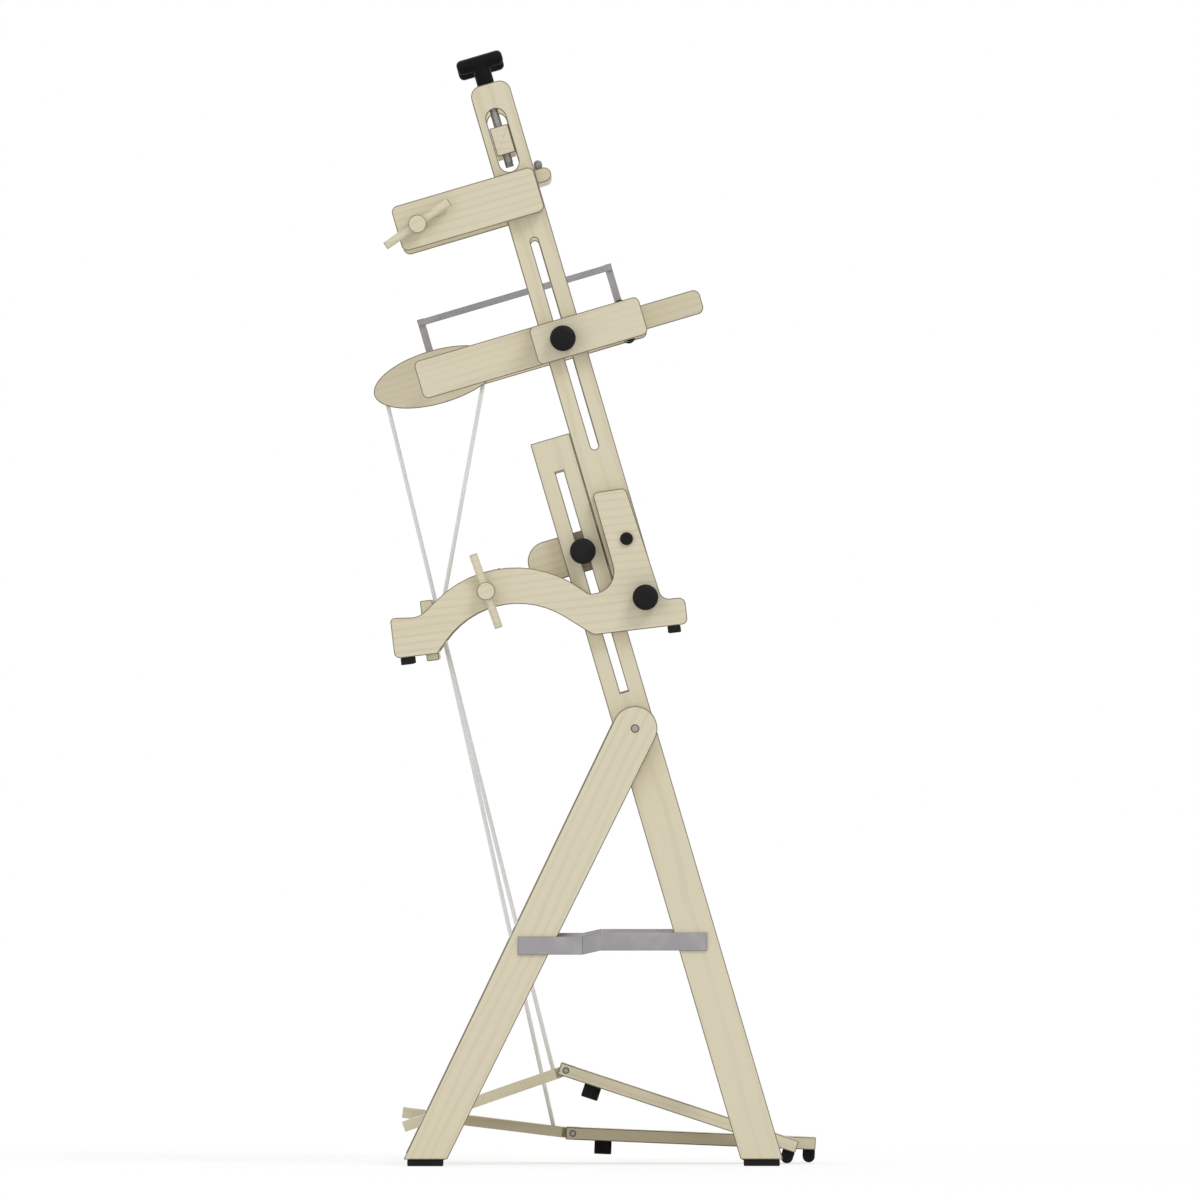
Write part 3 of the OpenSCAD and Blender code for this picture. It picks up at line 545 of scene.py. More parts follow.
@dataclass(frozen=True)
class Hard:
    """Steel, moulded plastic or rubber, with the marks of handling.

    Args:
        name: Name of the material.
        color: Its colour.
        rubbed: Its colour where it is rubbed.
        metallic: How far it is metal, from 0 to 1.
        roughness: Mean roughness.
        tooth: Fineness of the surface's tooth, per metre.
        amount: Share of the rubbed colour.
        depth: Strength of the bump.
        gloss: Level of its specular reflection.
    """

    name: str
    color: Color
    rubbed: Color
    metallic: float
    roughness: float
    tooth: float
    amount: float
    depth: float
    gloss: float = 0.5

    def material(self) -> bpy.types.Material:
        """Builds the material.

        Returns:
            The material.
        """
        material, shader = bare_material(self.name)
        place = add_node(material.node_tree, "ShaderNodeTexCoord")
        look = place_group(
            material,
            HANDLING_WEAR,
            Vector=place.outputs["Object"],
            Color=self.color,
            Rubbed=self.rubbed,
            Tooth_Size=self.tooth,
            Amount=self.amount,
            Roughness=self.roughness,
        )
        join_surface(material, shader, look, depth=self.depth, distance=0.2 * MM)
        fill(material.node_tree, shader, Metallic=self.metallic, Specular_IOR_Level=self.gloss)
        return material


PLATED_STEEL = Hard(
    "Plated_steel", color=(0.34, 0.33, 0.34, 1), rubbed=(0.42, 0.41, 0.41, 1),
    metallic=0.85, roughness=0.38, tooth=2600.0, amount=0.5, depth=0.08,
)
# Painted shade: a darker steel for the eased corners of metal parts, drawn as outlines along their edges.
SHADED_STEEL_EDGE = Hard(
    "Steel_edge_shade", color=(0.16, 0.155, 0.16, 1), rubbed=(0.3, 0.29, 0.29, 1),
    metallic=0.85, roughness=0.42, tooth=2600.0, amount=0.5, depth=0.05,
)
BLACK_PLASTIC = Hard(
    "Moulded_black", color=(0.0065, 0.0058, 0.006, 1), rubbed=(0.014, 0.0135, 0.0138, 1),
    metallic=0.0, roughness=0.5, tooth=3400.0, amount=0.5, depth=0.18, gloss=0.15,
)
DEEP_PLASTIC = Hard(
    "Moulded_deep_black", color=(0.0028, 0.0028, 0.0028, 1), rubbed=(0.009, 0.009, 0.009, 1),
    metallic=0.0, roughness=0.5, tooth=3400.0, amount=0.5, depth=0.18, gloss=0.1,
)
RUBBER = Hard(
    "Pad_rubber", color=(0.0095, 0.0085, 0.009, 1), rubbed=(0.022, 0.021, 0.021, 1),
    metallic=0.0, roughness=0.78, tooth=1700.0, amount=0.6, depth=0.35, gloss=0.2,
)


@dataclass(frozen=True)
class BraidedCord:
    """Braided polyester cord.

    Args:
        yarn: Colour of the yarns.
        groove: Colour between them, a painted shade in the gaps between the yarns.
        yarns_around: Number of yarns round the cord in each direction.
        depth: Strength of the bump.
        roughness: Its roughness.
        sheen: Strength of its fibres' sheen.
    """

    yarn: Color = (0.93, 0.93, 0.93, 1)
    groove: Color = (0.68, 0.68, 0.69, 1)
    yarns_around: float = 4.0
    depth: float = 0.6
    roughness: float = 0.72
    sheen: float = 0.15

    def material(self) -> bpy.types.Material:
        """Builds the material.

        Returns:
            The material.
        """
        material, shader = bare_material("Braided_cord")
        place = add_node(material.node_tree, "ShaderNodeUVMap", uv_map="Braid")
        look = place_group(
            material,
            BRAID_PATTERN,
            UV=place.outputs["UV"],
            Yarn=self.yarn,
            Groove=self.groove,
            Yarns_Around=self.yarns_around,
        )
        join_surface(material, shader, look, depth=self.depth, distance=0.4 * MM)
        fill(material.node_tree, shader, Roughness=self.roughness, Sheen_Weight=self.sheen)
        return material


# Painted shade: one dark maple for the eased corners of all boards, drawn as outlines along their edges.
MAPLE_EDGE_SHADE = Maple("boards", (1.0, 0.0, 0.0), 3, eased=True).material()
STEEL = PLATED_STEEL.material()
# Material of the painted edge shade on steel corners.
STEEL_EDGE_SHADE = SHADED_STEEL_EDGE.material()
BLACK = BLACK_PLASTIC.material()
DEEP_BLACK = DEEP_PLASTIC.material()
PAD = RUBBER.material()


# Meshes

MERGE_DISTANCE = 0.001 * MM
FLAT_ANGLE = math.radians(0.3)
SMOOTH_ANGLE = math.radians(20.0)
CORNER_ANGLE = math.radians(32.0)
CORNER_SLOT = 1


def add_object(name: str, data: bpy.types.ID) -> bpy.types.Object:
    """Adds an object to the scene, at the origin.

    Args:
        name: Name of the object.
        data: Its mesh, camera or lamp.

    Returns:
        The object.
    """
    item = bpy.data.objects.new(name, data)
    bpy.context.scene.collection.objects.link(item)
    return item


def finish_mesh(
    name: str, mesh: bmesh.types.BMesh, materials: Sequence[bpy.types.Material]
) -> bpy.types.Object:
    """Turns a bmesh into an object at the origin, flat on its faces and smooth round its curves.

    Args:
        name: Name of the piece.
        mesh: The bmesh, which is freed.
        materials: Its materials, in slot order.

    Returns:
        The new object.
    """
    data = bpy.data.meshes.new(name)
    mesh.to_mesh(data)
    mesh.free()
    for material in materials:
        data.materials.append(material)
    data.polygons.foreach_set("use_smooth", [True] * len(data.polygons))
    data.set_sharp_from_angle(angle=SMOOTH_ANGLE)
    return add_object(name, data)


def merged_solid(node: str) -> bmesh.types.BMesh:
    """A copy of a CAD node with its doubles merged and its flat faces whole.

    Args:
        node: Name of the CAD node.

    Returns:
        A closed bmesh.
    """
    mesh = bmesh.new()
    mesh.from_mesh(frame["nodes"][node].data)
    bmesh.ops.remove_doubles(mesh, verts=mesh.verts[:], dist=MERGE_DISTANCE)
    bmesh.ops.dissolve_limit(mesh, angle_limit=FLAT_ANGLE, verts=mesh.verts[:], edges=mesh.edges[:])
    for face in mesh.faces:
        face.material_index = 0
    return mesh


def ease_corners(mesh: bmesh.types.BMesh, width: float, clamped: bool = True) -> None:
    """Rounds the outer corners of a solid and gives the rounding the second material.

    Args:
        mesh: The bmesh.
        width: Width of the rounding, in metres.
        clamped: Whether the width gives way where edges are short.
    """
    corners = [
        edge
        for edge in mesh.edges
        if len(edge.link_faces) == 2 and edge.is_convex and edge.calc_face_angle(0.0) > CORNER_ANGLE
    ]
    bmesh.ops.bevel(
        mesh,
        geom=corners,
        offset=width,
        segments=2,
        profile=0.5,
        affect="EDGES",
        clamp_overlap=clamped,
        material=CORNER_SLOT,
    )


@dataclass(frozen=True)
class Turned:
    """A closed solid that is turned round the Z axis of its place.

    Args:
        name: Name of the piece.
        profile: Radius and height of each point, from one end to the other, not on the axis.
        steps: Number of steps round.
        place: Matrix that takes the solid to its place in the row frame.
        materials: Materials of the faces and of the eased corners.
        ease: Width of the eased corners, in metres.
    """

    name: str
    profile: Sequence[tuple[float, float]]
    steps: int
    place: Matrix
    materials: Sequence[bpy.types.Material]
    ease: float

    def build(self) -> bpy.types.Object:
        """Turns the profile.

        Returns:
            The piece.
        """
        mesh = bmesh.new()
        turns = [2 * math.pi * step / self.steps for step in range(self.steps)]
        rings = [
            [mesh.verts.new((r * math.cos(turn), r * math.sin(turn), z)) for turn in turns]
            for r, z in self.profile
        ]
        for lower, upper in zip(rings, rings[1:]):
            for k in range(self.steps):
                after = (k + 1) % self.steps
                mesh.faces.new((lower[k], lower[after], upper[after], upper[k]))
        mesh.faces.new(reversed(rings[0]))
        mesh.faces.new(rings[-1])
        bmesh.ops.recalc_face_normals(mesh, faces=mesh.faces[:])
        ease_corners(mesh, self.ease)
        mesh.transform(self.place)
        return finish_mesh(self.name, mesh, self.materials)


# Pieces and their bodies


def body_of(node: str) -> str:
    """Name of the body that a CAD node belongs to."""
    bodies = frame["record"]["behaviour"]["bodies"]
    return next(body for body, nodes in bodies.items() if node in nodes)


def settle(piece: bpy.types.Object, slot: str, *nodes: str) -> bpy.types.Object:
    """Lets a piece ride on the body of the nodes that it stands for.

    Args:
        piece: The piece.
        slot: The record's material slot; not used.
        nodes: The CAD nodes, all of one body.

    Returns:
        The piece.
    """
    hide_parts(*nodes)
    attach(piece, body_of(nodes[0]))
    log.info("%s rides on %s", piece.name, body_of(nodes[0]))
    return piece


@dataclass(frozen=True)
class Dressed:
    """A CAD node that keeps its shape and gets eased corners and a finish.

    Args:
        node: Name of the CAD node.
        face: Material of its faces.
        corner: Material of its eased corners, a painted edge shade on wood and steel.
        slot: The record's material slot.
        ease: Width of the eased corners, in metres.
        clamped: Whether that width gives way where edges are short.
    """

    node: str
    face: bpy.types.Material
    corner: bpy.types.Material
    slot: str
    ease: float
    clamped: bool = True

    def build(self) -> bpy.types.Object:
        """Makes the piece, which rides on its node's body.

        Returns:
            The piece.
        """
        mesh = merged_solid(self.node)
        ease_corners(mesh, self.ease, self.clamped)
        piece = finish_mesh(self.node.capitalize(), mesh, (self.face, self.corner))
        return settle(piece, self.slot, self.node)


class Grain(Enum):
    """Directions that the boards' grain runs in."""

    UP_THE_LEG = tuple(LEAN.up())
    BACK = tuple(LEAN.back())
    ACROSS = (1.0, 0.0, 0.0)
    SHORT_LEG = tuple(sloped(-64.05))
    LOOM_FOOT = tuple(sloped(-6.8))
    RAISED_ARM = tuple(sloped(-19.2))
    LOWERED_ARM = tuple(sloped(7.0))
    RAISED_PEDAL = tuple(sloped(18.3))
    LOWERED_PEDAL = tuple(sloped(2.4))


class Side(Enum):
    """Sides of the loom, as the names of its nodes give them."""

    LEFT = "left"
    RIGHT = "right"

    def of(self, name: str) -> str:
        """Name of a node or piece on this side."""
        return f"{name}_{self.value}"


@dataclass
class SubAssembly:
    """A group of pieces, with the helpers that every group shares.

    Args:
        board_ease: Width of the eased corners of its boards, in metres.
        metal_ease: Width of those of its metal.
        plastic_ease: Width of those of its plastic.
        rubber_ease: Width of those of its rubber.
    """

    seeds: ClassVar[Iterator[int]] = count(1)
    board_ease: float = 1.1 * MM
    metal_ease: float = 0.4 * MM
    plastic_ease: float = 1.0 * MM
    rubber_ease: float = 1.2 * MM

    def board(self, node: str, grain: Grain, ease: float = 0.0, clamped: bool = False) -> bpy.types.Object:
        """Dresses a CAD board in maple, with painted shade on its eased corners.

        Args:
            node: Name of the CAD node.
            grain: Direction of its grain.
            ease: Width of its eased corners, in metres, or 0 for the group's own.
            clamped: Whether that width gives way where edges are short.

        Returns:
            The piece.
        """
        wood = Maple(node, grain.value, next(self.seeds)).material()
        return Dressed(node, wood, MAPLE_EDGE_SHADE, "maple", ease or self.board_ease, clamped).build()

    def metal(self, node: str, ease: float = 0.0) -> bpy.types.Object:
        """Dresses a CAD node in plated steel, with painted shade on its eased corners."""
        return Dressed(node, STEEL, STEEL_EDGE_SHADE, "steel", ease or self.metal_ease).build()

    def plastic(self, node: str) -> bpy.types.Object:
        """Dresses a CAD node in moulded black plastic."""
        return Dressed(node, BLACK, BLACK, "black_plastic", self.plastic_ease).build()

    def rubber(self, node: str) -> bpy.types.Object:
        """Dresses a CAD node in pad rubber."""
        return Dressed(node, PAD, PAD, "rubber", self.rubber_ease).build()


# Geometry Nodes


class HelixTree:
    """Geometry Nodes tree that winds a wire into a helix along Z.

    Its inputs are the sizes of the coil; every modifier sets its own.
    """

    def __init__(self) -> None:
        """Builds the tree."""
        self.tree = bpy.data.node_groups.new("helix of wire", "GeometryNodeTree")
        face = self.tree.interface
        kinds = {
            "Turns": "NodeSocketFloat",
            "Coil Radius": "NodeSocketFloat",
            "Length": "NodeSocketFloat",
            "Wire Radius": "NodeSocketFloat",
            "Steps": "NodeSocketInt",
            "Sides": "NodeSocketInt",
            "Material": "NodeSocketMaterial",
        }
        self.sockets = {
            label: face.new_socket(label, in_out="INPUT", socket_type=kind) for label, kind in kinds.items()
        }
        face.new_socket("Geometry", in_out="OUTPUT", socket_type="NodeSocketGeometry")
        start = add_node(self.tree, "NodeGroupInput").outputs
        end = add_node(self.tree, "NodeGroupOutput")
        spiral = add_node(self.tree, "GeometryNodeCurveSpiral")
        wire = add_node(self.tree, "GeometryNodeCurvePrimitiveCircle", mode="RADIUS")
        sweep = add_node(self.tree, "GeometryNodeCurveToMesh")
        whole = add_node(self.tree, "GeometryNodeRealizeInstances")
        dress = add_node(self.tree, "GeometryNodeSetMaterial")
        sweep.inputs["Fill Caps"].default_value = True
        for source, target in (
            (start["Steps"], spiral.inputs["Resolution"]),
            (start["Turns"], spiral.inputs["Rotations"]),
            (start["Coil Radius"], spiral.inputs["Start Radius"]),
            (start["Coil Radius"], spiral.inputs["End Radius"]),
            (start["Length"], spiral.inputs["Height"]),
            (start["Sides"], wire.inputs["Resolution"]),
            (start["Wire Radius"], wire.inputs["Radius"]),
            (spiral.outputs[0], sweep.inputs["Curve"]),
            (wire.outputs[0], sweep.inputs["Profile Curve"]),
            (sweep.outputs[0], whole.inputs[0]),
            (whole.outputs[0], dress.inputs["Geometry"]),
            (start["Material"], dress.inputs["Material"]),
            (dress.outputs[0], end.inputs[0]),
        ):
            self.tree.links.new(source, target)

    def wind(self, name: str, place: Matrix, **values: object) -> bpy.types.Object:
        """Winds one helix and turns it into a plain mesh at the origin.

        Args:
            name: Name of the piece.
            place: Matrix that takes the helix to its place in the row frame.
            values: Values of the tree's inputs, with spaces written as underscores.

        Returns:
            The piece.
        """
        carrier = add_object(name + "_carrier", bpy.data.meshes.new(name + "_carrier"))
        modifier = carrier.modifiers.new("helix", "NODES")
        modifier.node_group = self.tree
        for label, value in values.items():
            modifier[self.sockets[label.replace("_", " ")].identifier] = value
        bpy.context.view_layer.update()
        graph = bpy.context.evaluated_depsgraph_get()
        data = bpy.data.meshes.new_from_object(carrier.evaluated_get(graph))
        bpy.data.objects.remove(carrier)
        data.name = name
        data.transform(place)
        data.polygons.foreach_set("use_smooth", [True] * len(data.polygons))
        return add_object(name, data)


HELIX = HelixTree()


# Sub-assemblies


@dataclass
class Stand(SubAssembly):
    """The two-legged stand with its straps, stretchers, pads and treadle rod."""

    def build(self) -> None:
        """Builds every piece of the stand."""
        for side in Side:
            self.board(side.of("long_leg"), Grain.UP_THE_LEG)
            self.board(side.of("short_leg"), Grain.SHORT_LEG)
        self.board("leg_stretchers", Grain.ACROSS)
        for node in ("leg_straps", "stand_bolts", "treadle_rod"):
            self.metal(node)
        self.rubber("leg_pads")


@dataclass
class LoomFrame(SubAssembly):
    """Uprights, arched feet, beam arms and the boards and bolts between them.

    Args:
        guide_ease: Width of the eased corners of the cord guides, in metres.
    """

    guide_ease: float = 0.1 * MM

    def build(self) -> None:
        """Builds every piece of the loom's frame."""
        for side in Side:
            self.board(side.of("upright"), Grain.UP_THE_LEG)
            self.board(side.of("foot"), Grain.LOOM_FOOT)
        for node in ("stand_brackets", "beam_arms"):
            self.board(node, Grain.BACK)
        for node in ("bottom_beam", "spring_board", "crossbar"):
            self.board(node, Grain.ACROSS)
        self.rubber("foot_pads")
        self.plastic("bolt_caps")
        self.metal("frame_bolts")
        self.metal("cord_guides", self.guide_ease)
        for side in Side:
            self.plastic(side.of("leg_knob"))
            self.plastic(side.of("foot_knob"))


@dataclass
class WarpSpring(SubAssembly):
    """The coil spring on its core along the spring board's lip.

    Args:
        turns: Number of turns, closer than the CAD coil's.
        wire: Diameter of the wire, in metres.
        core: Diameter of the core rod, in metres.
        block: Length of an end block, in metres.
        overhang: Length of core that stands out of each end block, in metres.
        core_ease: Width of the core's eased corners, in metres.
        block_ease: Width of the blocks' eased corners, in metres.
        turn_steps: Number of steps in one turn of the coil.
        wire_sides: Number of sides of the wire.
        core_steps: Number of steps round the core.
        block_steps: Number of steps round a block.
    """

    turns: float = 180.0
    wire: float = 1.2 * MM
    core: float = 6.0 * MM
    block: float = 9.0 * MM
    overhang: float = 1.5 * MM
    core_ease: float = 0.5 * MM
    block_ease: float = 0.8 * MM
    turn_steps: int = 20
    wire_sides: int = 8
    core_steps: int = 40
    block_steps: int = 48

    def build(self) -> None:
        """Winds the coil between its end blocks and sets it on its core."""
        low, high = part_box("warp_spring")
        centre = (low + high) / 2
        outer = (high.z - low.z) / 2
        half = (high.x - low.x) / 2
        inner = half - self.block
        along = Matrix.Rotation(math.radians(90.0), 4, "Y")
        place = Matrix.Translation(centre) @ along
        coil = HELIX.wind(
            "Warp_spring_coil",
            Matrix.Translation(centre - X_AXIS * inner) @ along,
            Turns=self.turns,
            Coil_Radius=outer - self.wire / 2,
            Length=2 * inner,
            Wire_Radius=self.wire / 2,
            Steps=self.turn_steps,
            Sides=self.wire_sides,
            Material=STEEL,
        )
        settle(coil, "steel", "warp_spring")
        # The core and blocks get painted shade on their eased corners.
        metal = (STEEL, STEEL_EDGE_SHADE)
        rod = [(self.core / 2, -half - self.overhang), (self.core / 2, half + self.overhang)]
        core = Turned("Warp_spring_core", rod, self.core_steps, place, metal, self.core_ease).build()
        settle(core, "steel", "warp_spring")
        for side, start, end in ((Side.LEFT, -half, -inner), (Side.RIGHT, inner, half)):
            collar = [(outer, start), (outer, end)]
            name = side.of("Spring_block")
            block = Turned(name, collar, self.block_steps, place, metal, self.block_ease).build()
            settle(block, "steel", "warp_spring")


@dataclass
class Tension(SubAssembly):
    """The top beam and the two T-knobs with their threaded screws.

    Args:
        screw: Diameter of the screw, in metres.
        pitch: Pitch of its thread, in metres.
        top: Height of the upright's top end above the pivot, in metres.
        knob_ease: Width of the eased corners of the T-knobs, in metres.
        thread_share: Radius of the thread's wire, as a share of the pitch.
        bare_turns: Turns without a thread at each end of the screw.
        turn_steps: Number of steps in one turn of the thread.
        thread_sides: Number of sides of the thread's wire.
    """

    screw: float = 9.5 * MM
    pitch: float = 1.6 * MM
    top: float = 766.0 * MM
    knob_ease: float = 0.5 * MM
    thread_share: float = 0.33
    bare_turns: int = 2
    turn_steps: int = 28
    thread_sides: int = 4

    def build(self) -> None:
        """Builds the top beam, the knobs and the threads."""
        self.board("top_beam", Grain.ACROSS)
        for side in Side:
            self.knob(side)
            self.thread(side)

    def knob(self, side: Side) -> None:
        """Dresses one T-knob, black above the upright and steel below, with black corners.

        Args:
            side: Side that it is on.
        """
        node = side.of("tension_knob")
        mesh = merged_solid(node)
        to_lean = LEAN.matrix().inverted()
        steel_slot = 2
        for face in mesh.faces:
            if (to_lean @ face.calc_center_median()).z < self.top:
                face.material_index = steel_slot
        ease_corners(mesh, self.knob_ease)
        knob = finish_mesh(node.capitalize(), mesh, (DEEP_BLACK, DEEP_BLACK, STEEL))
        settle(knob, "black_plastic", node)

    def thread(self, side: Side) -> None:
        """Winds the thread of one screw.

        Args:
            side: Side that it is on.
        """
        node = side.of("tension_knob")
        to_lean = LEAN.matrix().inverted()
        local = [to_lean @ vertex.co for vertex in frame["nodes"][node].data.vertices]
        bottom = min(point.z for point in local)
        end_ring = [point for point in local if point.z < bottom + MM]
        middle = sum(end_ring, Vector()) / len(end_ring)
        start = bottom + self.bare_turns * self.pitch
        length = self.top - self.bare_turns * self.pitch - start
        wire = self.thread_share * self.pitch
        thread = HELIX.wind(
            side.of("Tension_thread"),
            LEAN.matrix() @ Matrix.Translation((middle.x, middle.y, start)),
            Turns=length / self.pitch,
            Coil_Radius=(self.screw - wire) / 2,
            Length=length,
            Wire_Radius=wire,
            Steps=self.turn_steps,
            Sides=self.thread_sides,
            Material=STEEL,
        )
        settle(thread, "steel", node)


@dataclass
class ShedChanger(SubAssembly):
    """Shed arms, handle, rocking shafts, cranks and link.

    Args:
        shaft_ease: Width of the eased corners of the two wooden shafts, in metres.
    """

    shaft_ease: float = 0.8 * MM

    def build(self) -> None:
        """Builds every piece of the shed changer."""
        for node in ("shed_brackets", "inner_arms", "shed_handle"):
            self.board(node, Grain.BACK)
        for node in ("heddle_rocker", "cam_shaft"):
            self.board(node, Grain.ACROSS, self.shaft_ease)
        self.board("cord_rocker", Grain.BACK)
        for node in ("heddle_rods", "shed_bolts", "front_crank", "rear_crank", "shed_link"):
            self.metal(node)
        self.plastic("heddle_rod_caps")
        for side in Side:
            self.plastic(side.of("shed_knob"))


@dataclass
class Rollers(SubAssembly):
    """Warp and cloth rollers with their ratchets and pawls.

    Args:
        roller_ease: Width of the rollers' eased corners, in metres.
        pawl_ease: Width of the pawls' eased corners, in metres.
    """

    roller_ease: float = 0.8 * MM
    pawl_ease: float = 0.3 * MM

    def build(self) -> None:
        """Builds every piece of the rollers."""
        for beam in ("warp", "cloth"):
            self.board(beam + "_roller", Grain.ACROSS, self.roller_ease)
            self.metal(beam + "_ratchet")
            self.metal(beam + "_pawl", self.pawl_ease)


@dataclass
class Treadles(SubAssembly):
    """The two jointed treadles with their pins and rubbers.

    Args:
        arm_ease: Width of the eased corners of the treadle arms, in metres.
    """

    arm_ease: float = 0.7 * MM

    def build(self) -> None:
        """Builds every piece of the treadles."""
        self.board("treadle_arm_left", Grain.RAISED_ARM, self.arm_ease, clamped=True)
        self.board("treadle_arm_right", Grain.LOWERED_ARM, self.arm_ease, clamped=True)
        self.board("pedal_left", Grain.RAISED_PEDAL)
        self.board("pedal_right", Grain.LOWERED_PEDAL)
        for side in Side:
            self.metal(side.of("knee_pins"))
            self.rubber(side.of("pedal_rubbers"))


# Cords


class Stretch(Enum):
    """The stretches of a cord and the two bodies that each runs between, with the treadle's left open."""

    ROCKER = ("rear_rocker", "shed_arms")
    FRAME = ("shed_arms", "loom_frame")
    STAND = ("loom_frame", "stand")
    TREADLE = ("stand", "")


@dataclass
class PullCord:
    """One taut cord from the oval rocker, through its guide, to a treadle arm.

    Args:
        node: CAD node that it stands for.
        treadle: Body of the treadle arm that it ends in; not used.
        route: Points along its pull in millimetres, from the rocker to the arm.
        ends: Index of the last point of each stretch.
        diameter: Its diameter, in metres.
        sides: Number of sides of its round section.
        step: Distance between the rings of its mesh, in metres.
    """

    node: str
    treadle: str
    route: list[Point]
    ends: tuple[int, int, int, int]
    diameter: float = 4.8 * MM
    sides: int = 12
    step: float = 4.0 * MM

    def line(self) -> list[list[Vector]]:
        """Draws the cord's middle line.

        Returns:
            Closely spaced points for each stretch.
        """
        points = [Vector(point) * MM for point in self.route]
        stretches = []
        first = 0
        for last in self.ends:
            fine = [points[first]]
            for index in range(first, last):
                fine += self.between(points, index)
            stretches.append(fine)
            first = last
        return stretches

    def between(self, points: Sequence[Vector], index: int) -> list[Vector]:
        """Points of a smooth curve from one chosen point to the next, without the first.

        Args:
            points: All the chosen points.
            index: Index of the first of the two.

        Returns:
            Points a step apart, the last on the second chosen point.
        """
        before = points[max(index - 1, 0)]
        here, after = points[index], points[index + 1]
        beyond = points[min(index + 2, len(points) - 1)]
        slope = after - before
        bend = 2 * before - 5 * here + 4 * after - beyond
        twist = 3 * here - before - 3 * after + beyond
        steps = max(2, round((after - here).length / self.step))
        shares = [k / steps for k in range(1, steps + 1)]
        return [here + (slope * t + bend * t**2 + twist * t**3) / 2 for t in shares]

    def ring(self, point: Vector, ahead: Vector) -> list[Vector]:
        """Places the cord's round section on its middle line.

        Args:
            point: Point of the middle line.
            ahead: Direction of the line there.

        Returns:
            The section's points, in order round the line.
        """
        across = ahead.cross(X_AXIS).normalized()
        other = across.cross(ahead).normalized()
        turns = [2 * math.pi * k / self.sides for k in range(self.sides)]
        return [point + self.diameter / 2 * (math.cos(a) * across + math.sin(a) * other) for a in turns]

    def tube(
        self, name: str, line: Sequence[Vector], start: float, material: bpy.types.Material
    ) -> bpy.types.Object:
        """Sweeps the cord's round section along a line, with a UV map for its braid.

        Args:
            name: Name of the piece.
            line: Points of the middle line.
            start: Length of cord before this stretch, in metres.
            material: Its material.

        Returns:
            The piece.
        """
        mesh = bmesh.new()
        braid = mesh.loops.layers.uv.new("Braid")
        rings, run = [], []
        travelled = start
        for index, point in enumerate(line):
            behind = line[max(index - 1, 0)]
            ahead = line[min(index + 1, len(line) - 1)] - behind
            rings.append([mesh.verts.new(place) for place in self.ring(point, ahead)])
            travelled += (point - behind).length
            run.append(travelled / self.diameter)
        for i in range(len(rings) - 1):
            for k in range(self.sides):
                after = (k + 1) % self.sides
                face = mesh.faces.new((rings[i][k], rings[i][after], rings[i + 1][after], rings[i + 1][k]))
                corners = ((k, i), (k + 1, i), (k + 1, i + 1), (k, i + 1))
                for loop, (round_at, along_at) in zip(face.loops, corners):
                    loop[braid].uv = (round_at / self.sides, run[along_at])
        mesh.faces.new(rings[0])
        mesh.faces.new(reversed(rings[-1]))
        bmesh.ops.recalc_face_normals(mesh, faces=mesh.faces[:])
        return finish_mesh(name, mesh, (material,))

    def build(self, material: bpy.types.Material) -> None:
        """Builds the four stretches as separate pieces.

        Args:
            material: The braided cord's material.
        """
        travelled = 0.0
        for number, (stretch, line) in enumerate(zip(Stretch, self.line()), 1):
            length = sum((b - a).length for a, b in zip(line, line[1:]))
            piece = self.tube(f"{self.node.capitalize()}_{number}", line, travelled, material)
            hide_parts(self.node)
            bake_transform(piece)
            travelled += length
            log.info("%s: %.3f m of cord", piece.name, length)


REAR_CORD = PullCord(
    "rear_cord",
    "arm_right",
    [
        (0, 240.4, 885.5), (0, 238.4, 877), (5, 224.5, 820), (10, 210.9, 764), (15, 195.8, 702),
        (19, 182.7, 648), (20, 179.7, 636), (20, 178.2, 630), (21.4, 172.2, 603), (25.3, 154.9, 526),
        (30.4, 132.6, 426), (35.5, 110.2, 326), (40.5, 88.3, 228), (45.7, 65.9, 128), (48.8, 52, 66),
        (50, 47, 43.5), (50.2, 46, 39.1),
    ],
    (2, 6, 12, 16),
)
FRONT_CORD = PullCord(
    "front_cord",
    "arm_left",
    [
        (0, 128.3, 911.5), (0, 129.8, 903), (-5, 139.1, 852), (-10, 150.1, 792), (-15, 162.8, 722),
        (-19, 175.6, 652), (-20, 178.2, 638), (-20, 178.7, 632), (-20.6, 176.2, 622), (-23.3, 164.4, 575),
        (-27.1, 147.6, 508), (-32.2, 125.4, 420), (-37.2, 103.3, 332), (-42.3, 81.1, 244),
        (-46, 65, 180), (-49.4, 49.3, 118), (-50.2, 46.1, 106),
    ],
    (2, 6, 13, 16),
)


# Studio


@dataclass(frozen=True)
class Sun:
    """A sun lamp.

    Args:
        name: Name of the lamp.
        toward: Direction that it comes from.
        strength: Its strength.
        softness: Its angular size, in degrees.
    """

    name: str
    toward: Point
    strength: float
    softness: float

    def build(self) -> None:
        """Adds the lamp to the scene."""
        data = bpy.data.lights.new(self.name, "SUN")
        data.energy = self.strength
        data.angle = math.radians(self.softness)
        lamp = add_object(self.name, data)
        lamp.rotation_euler = Vector(self.toward).to_track_quat("Z", "Y").to_euler()


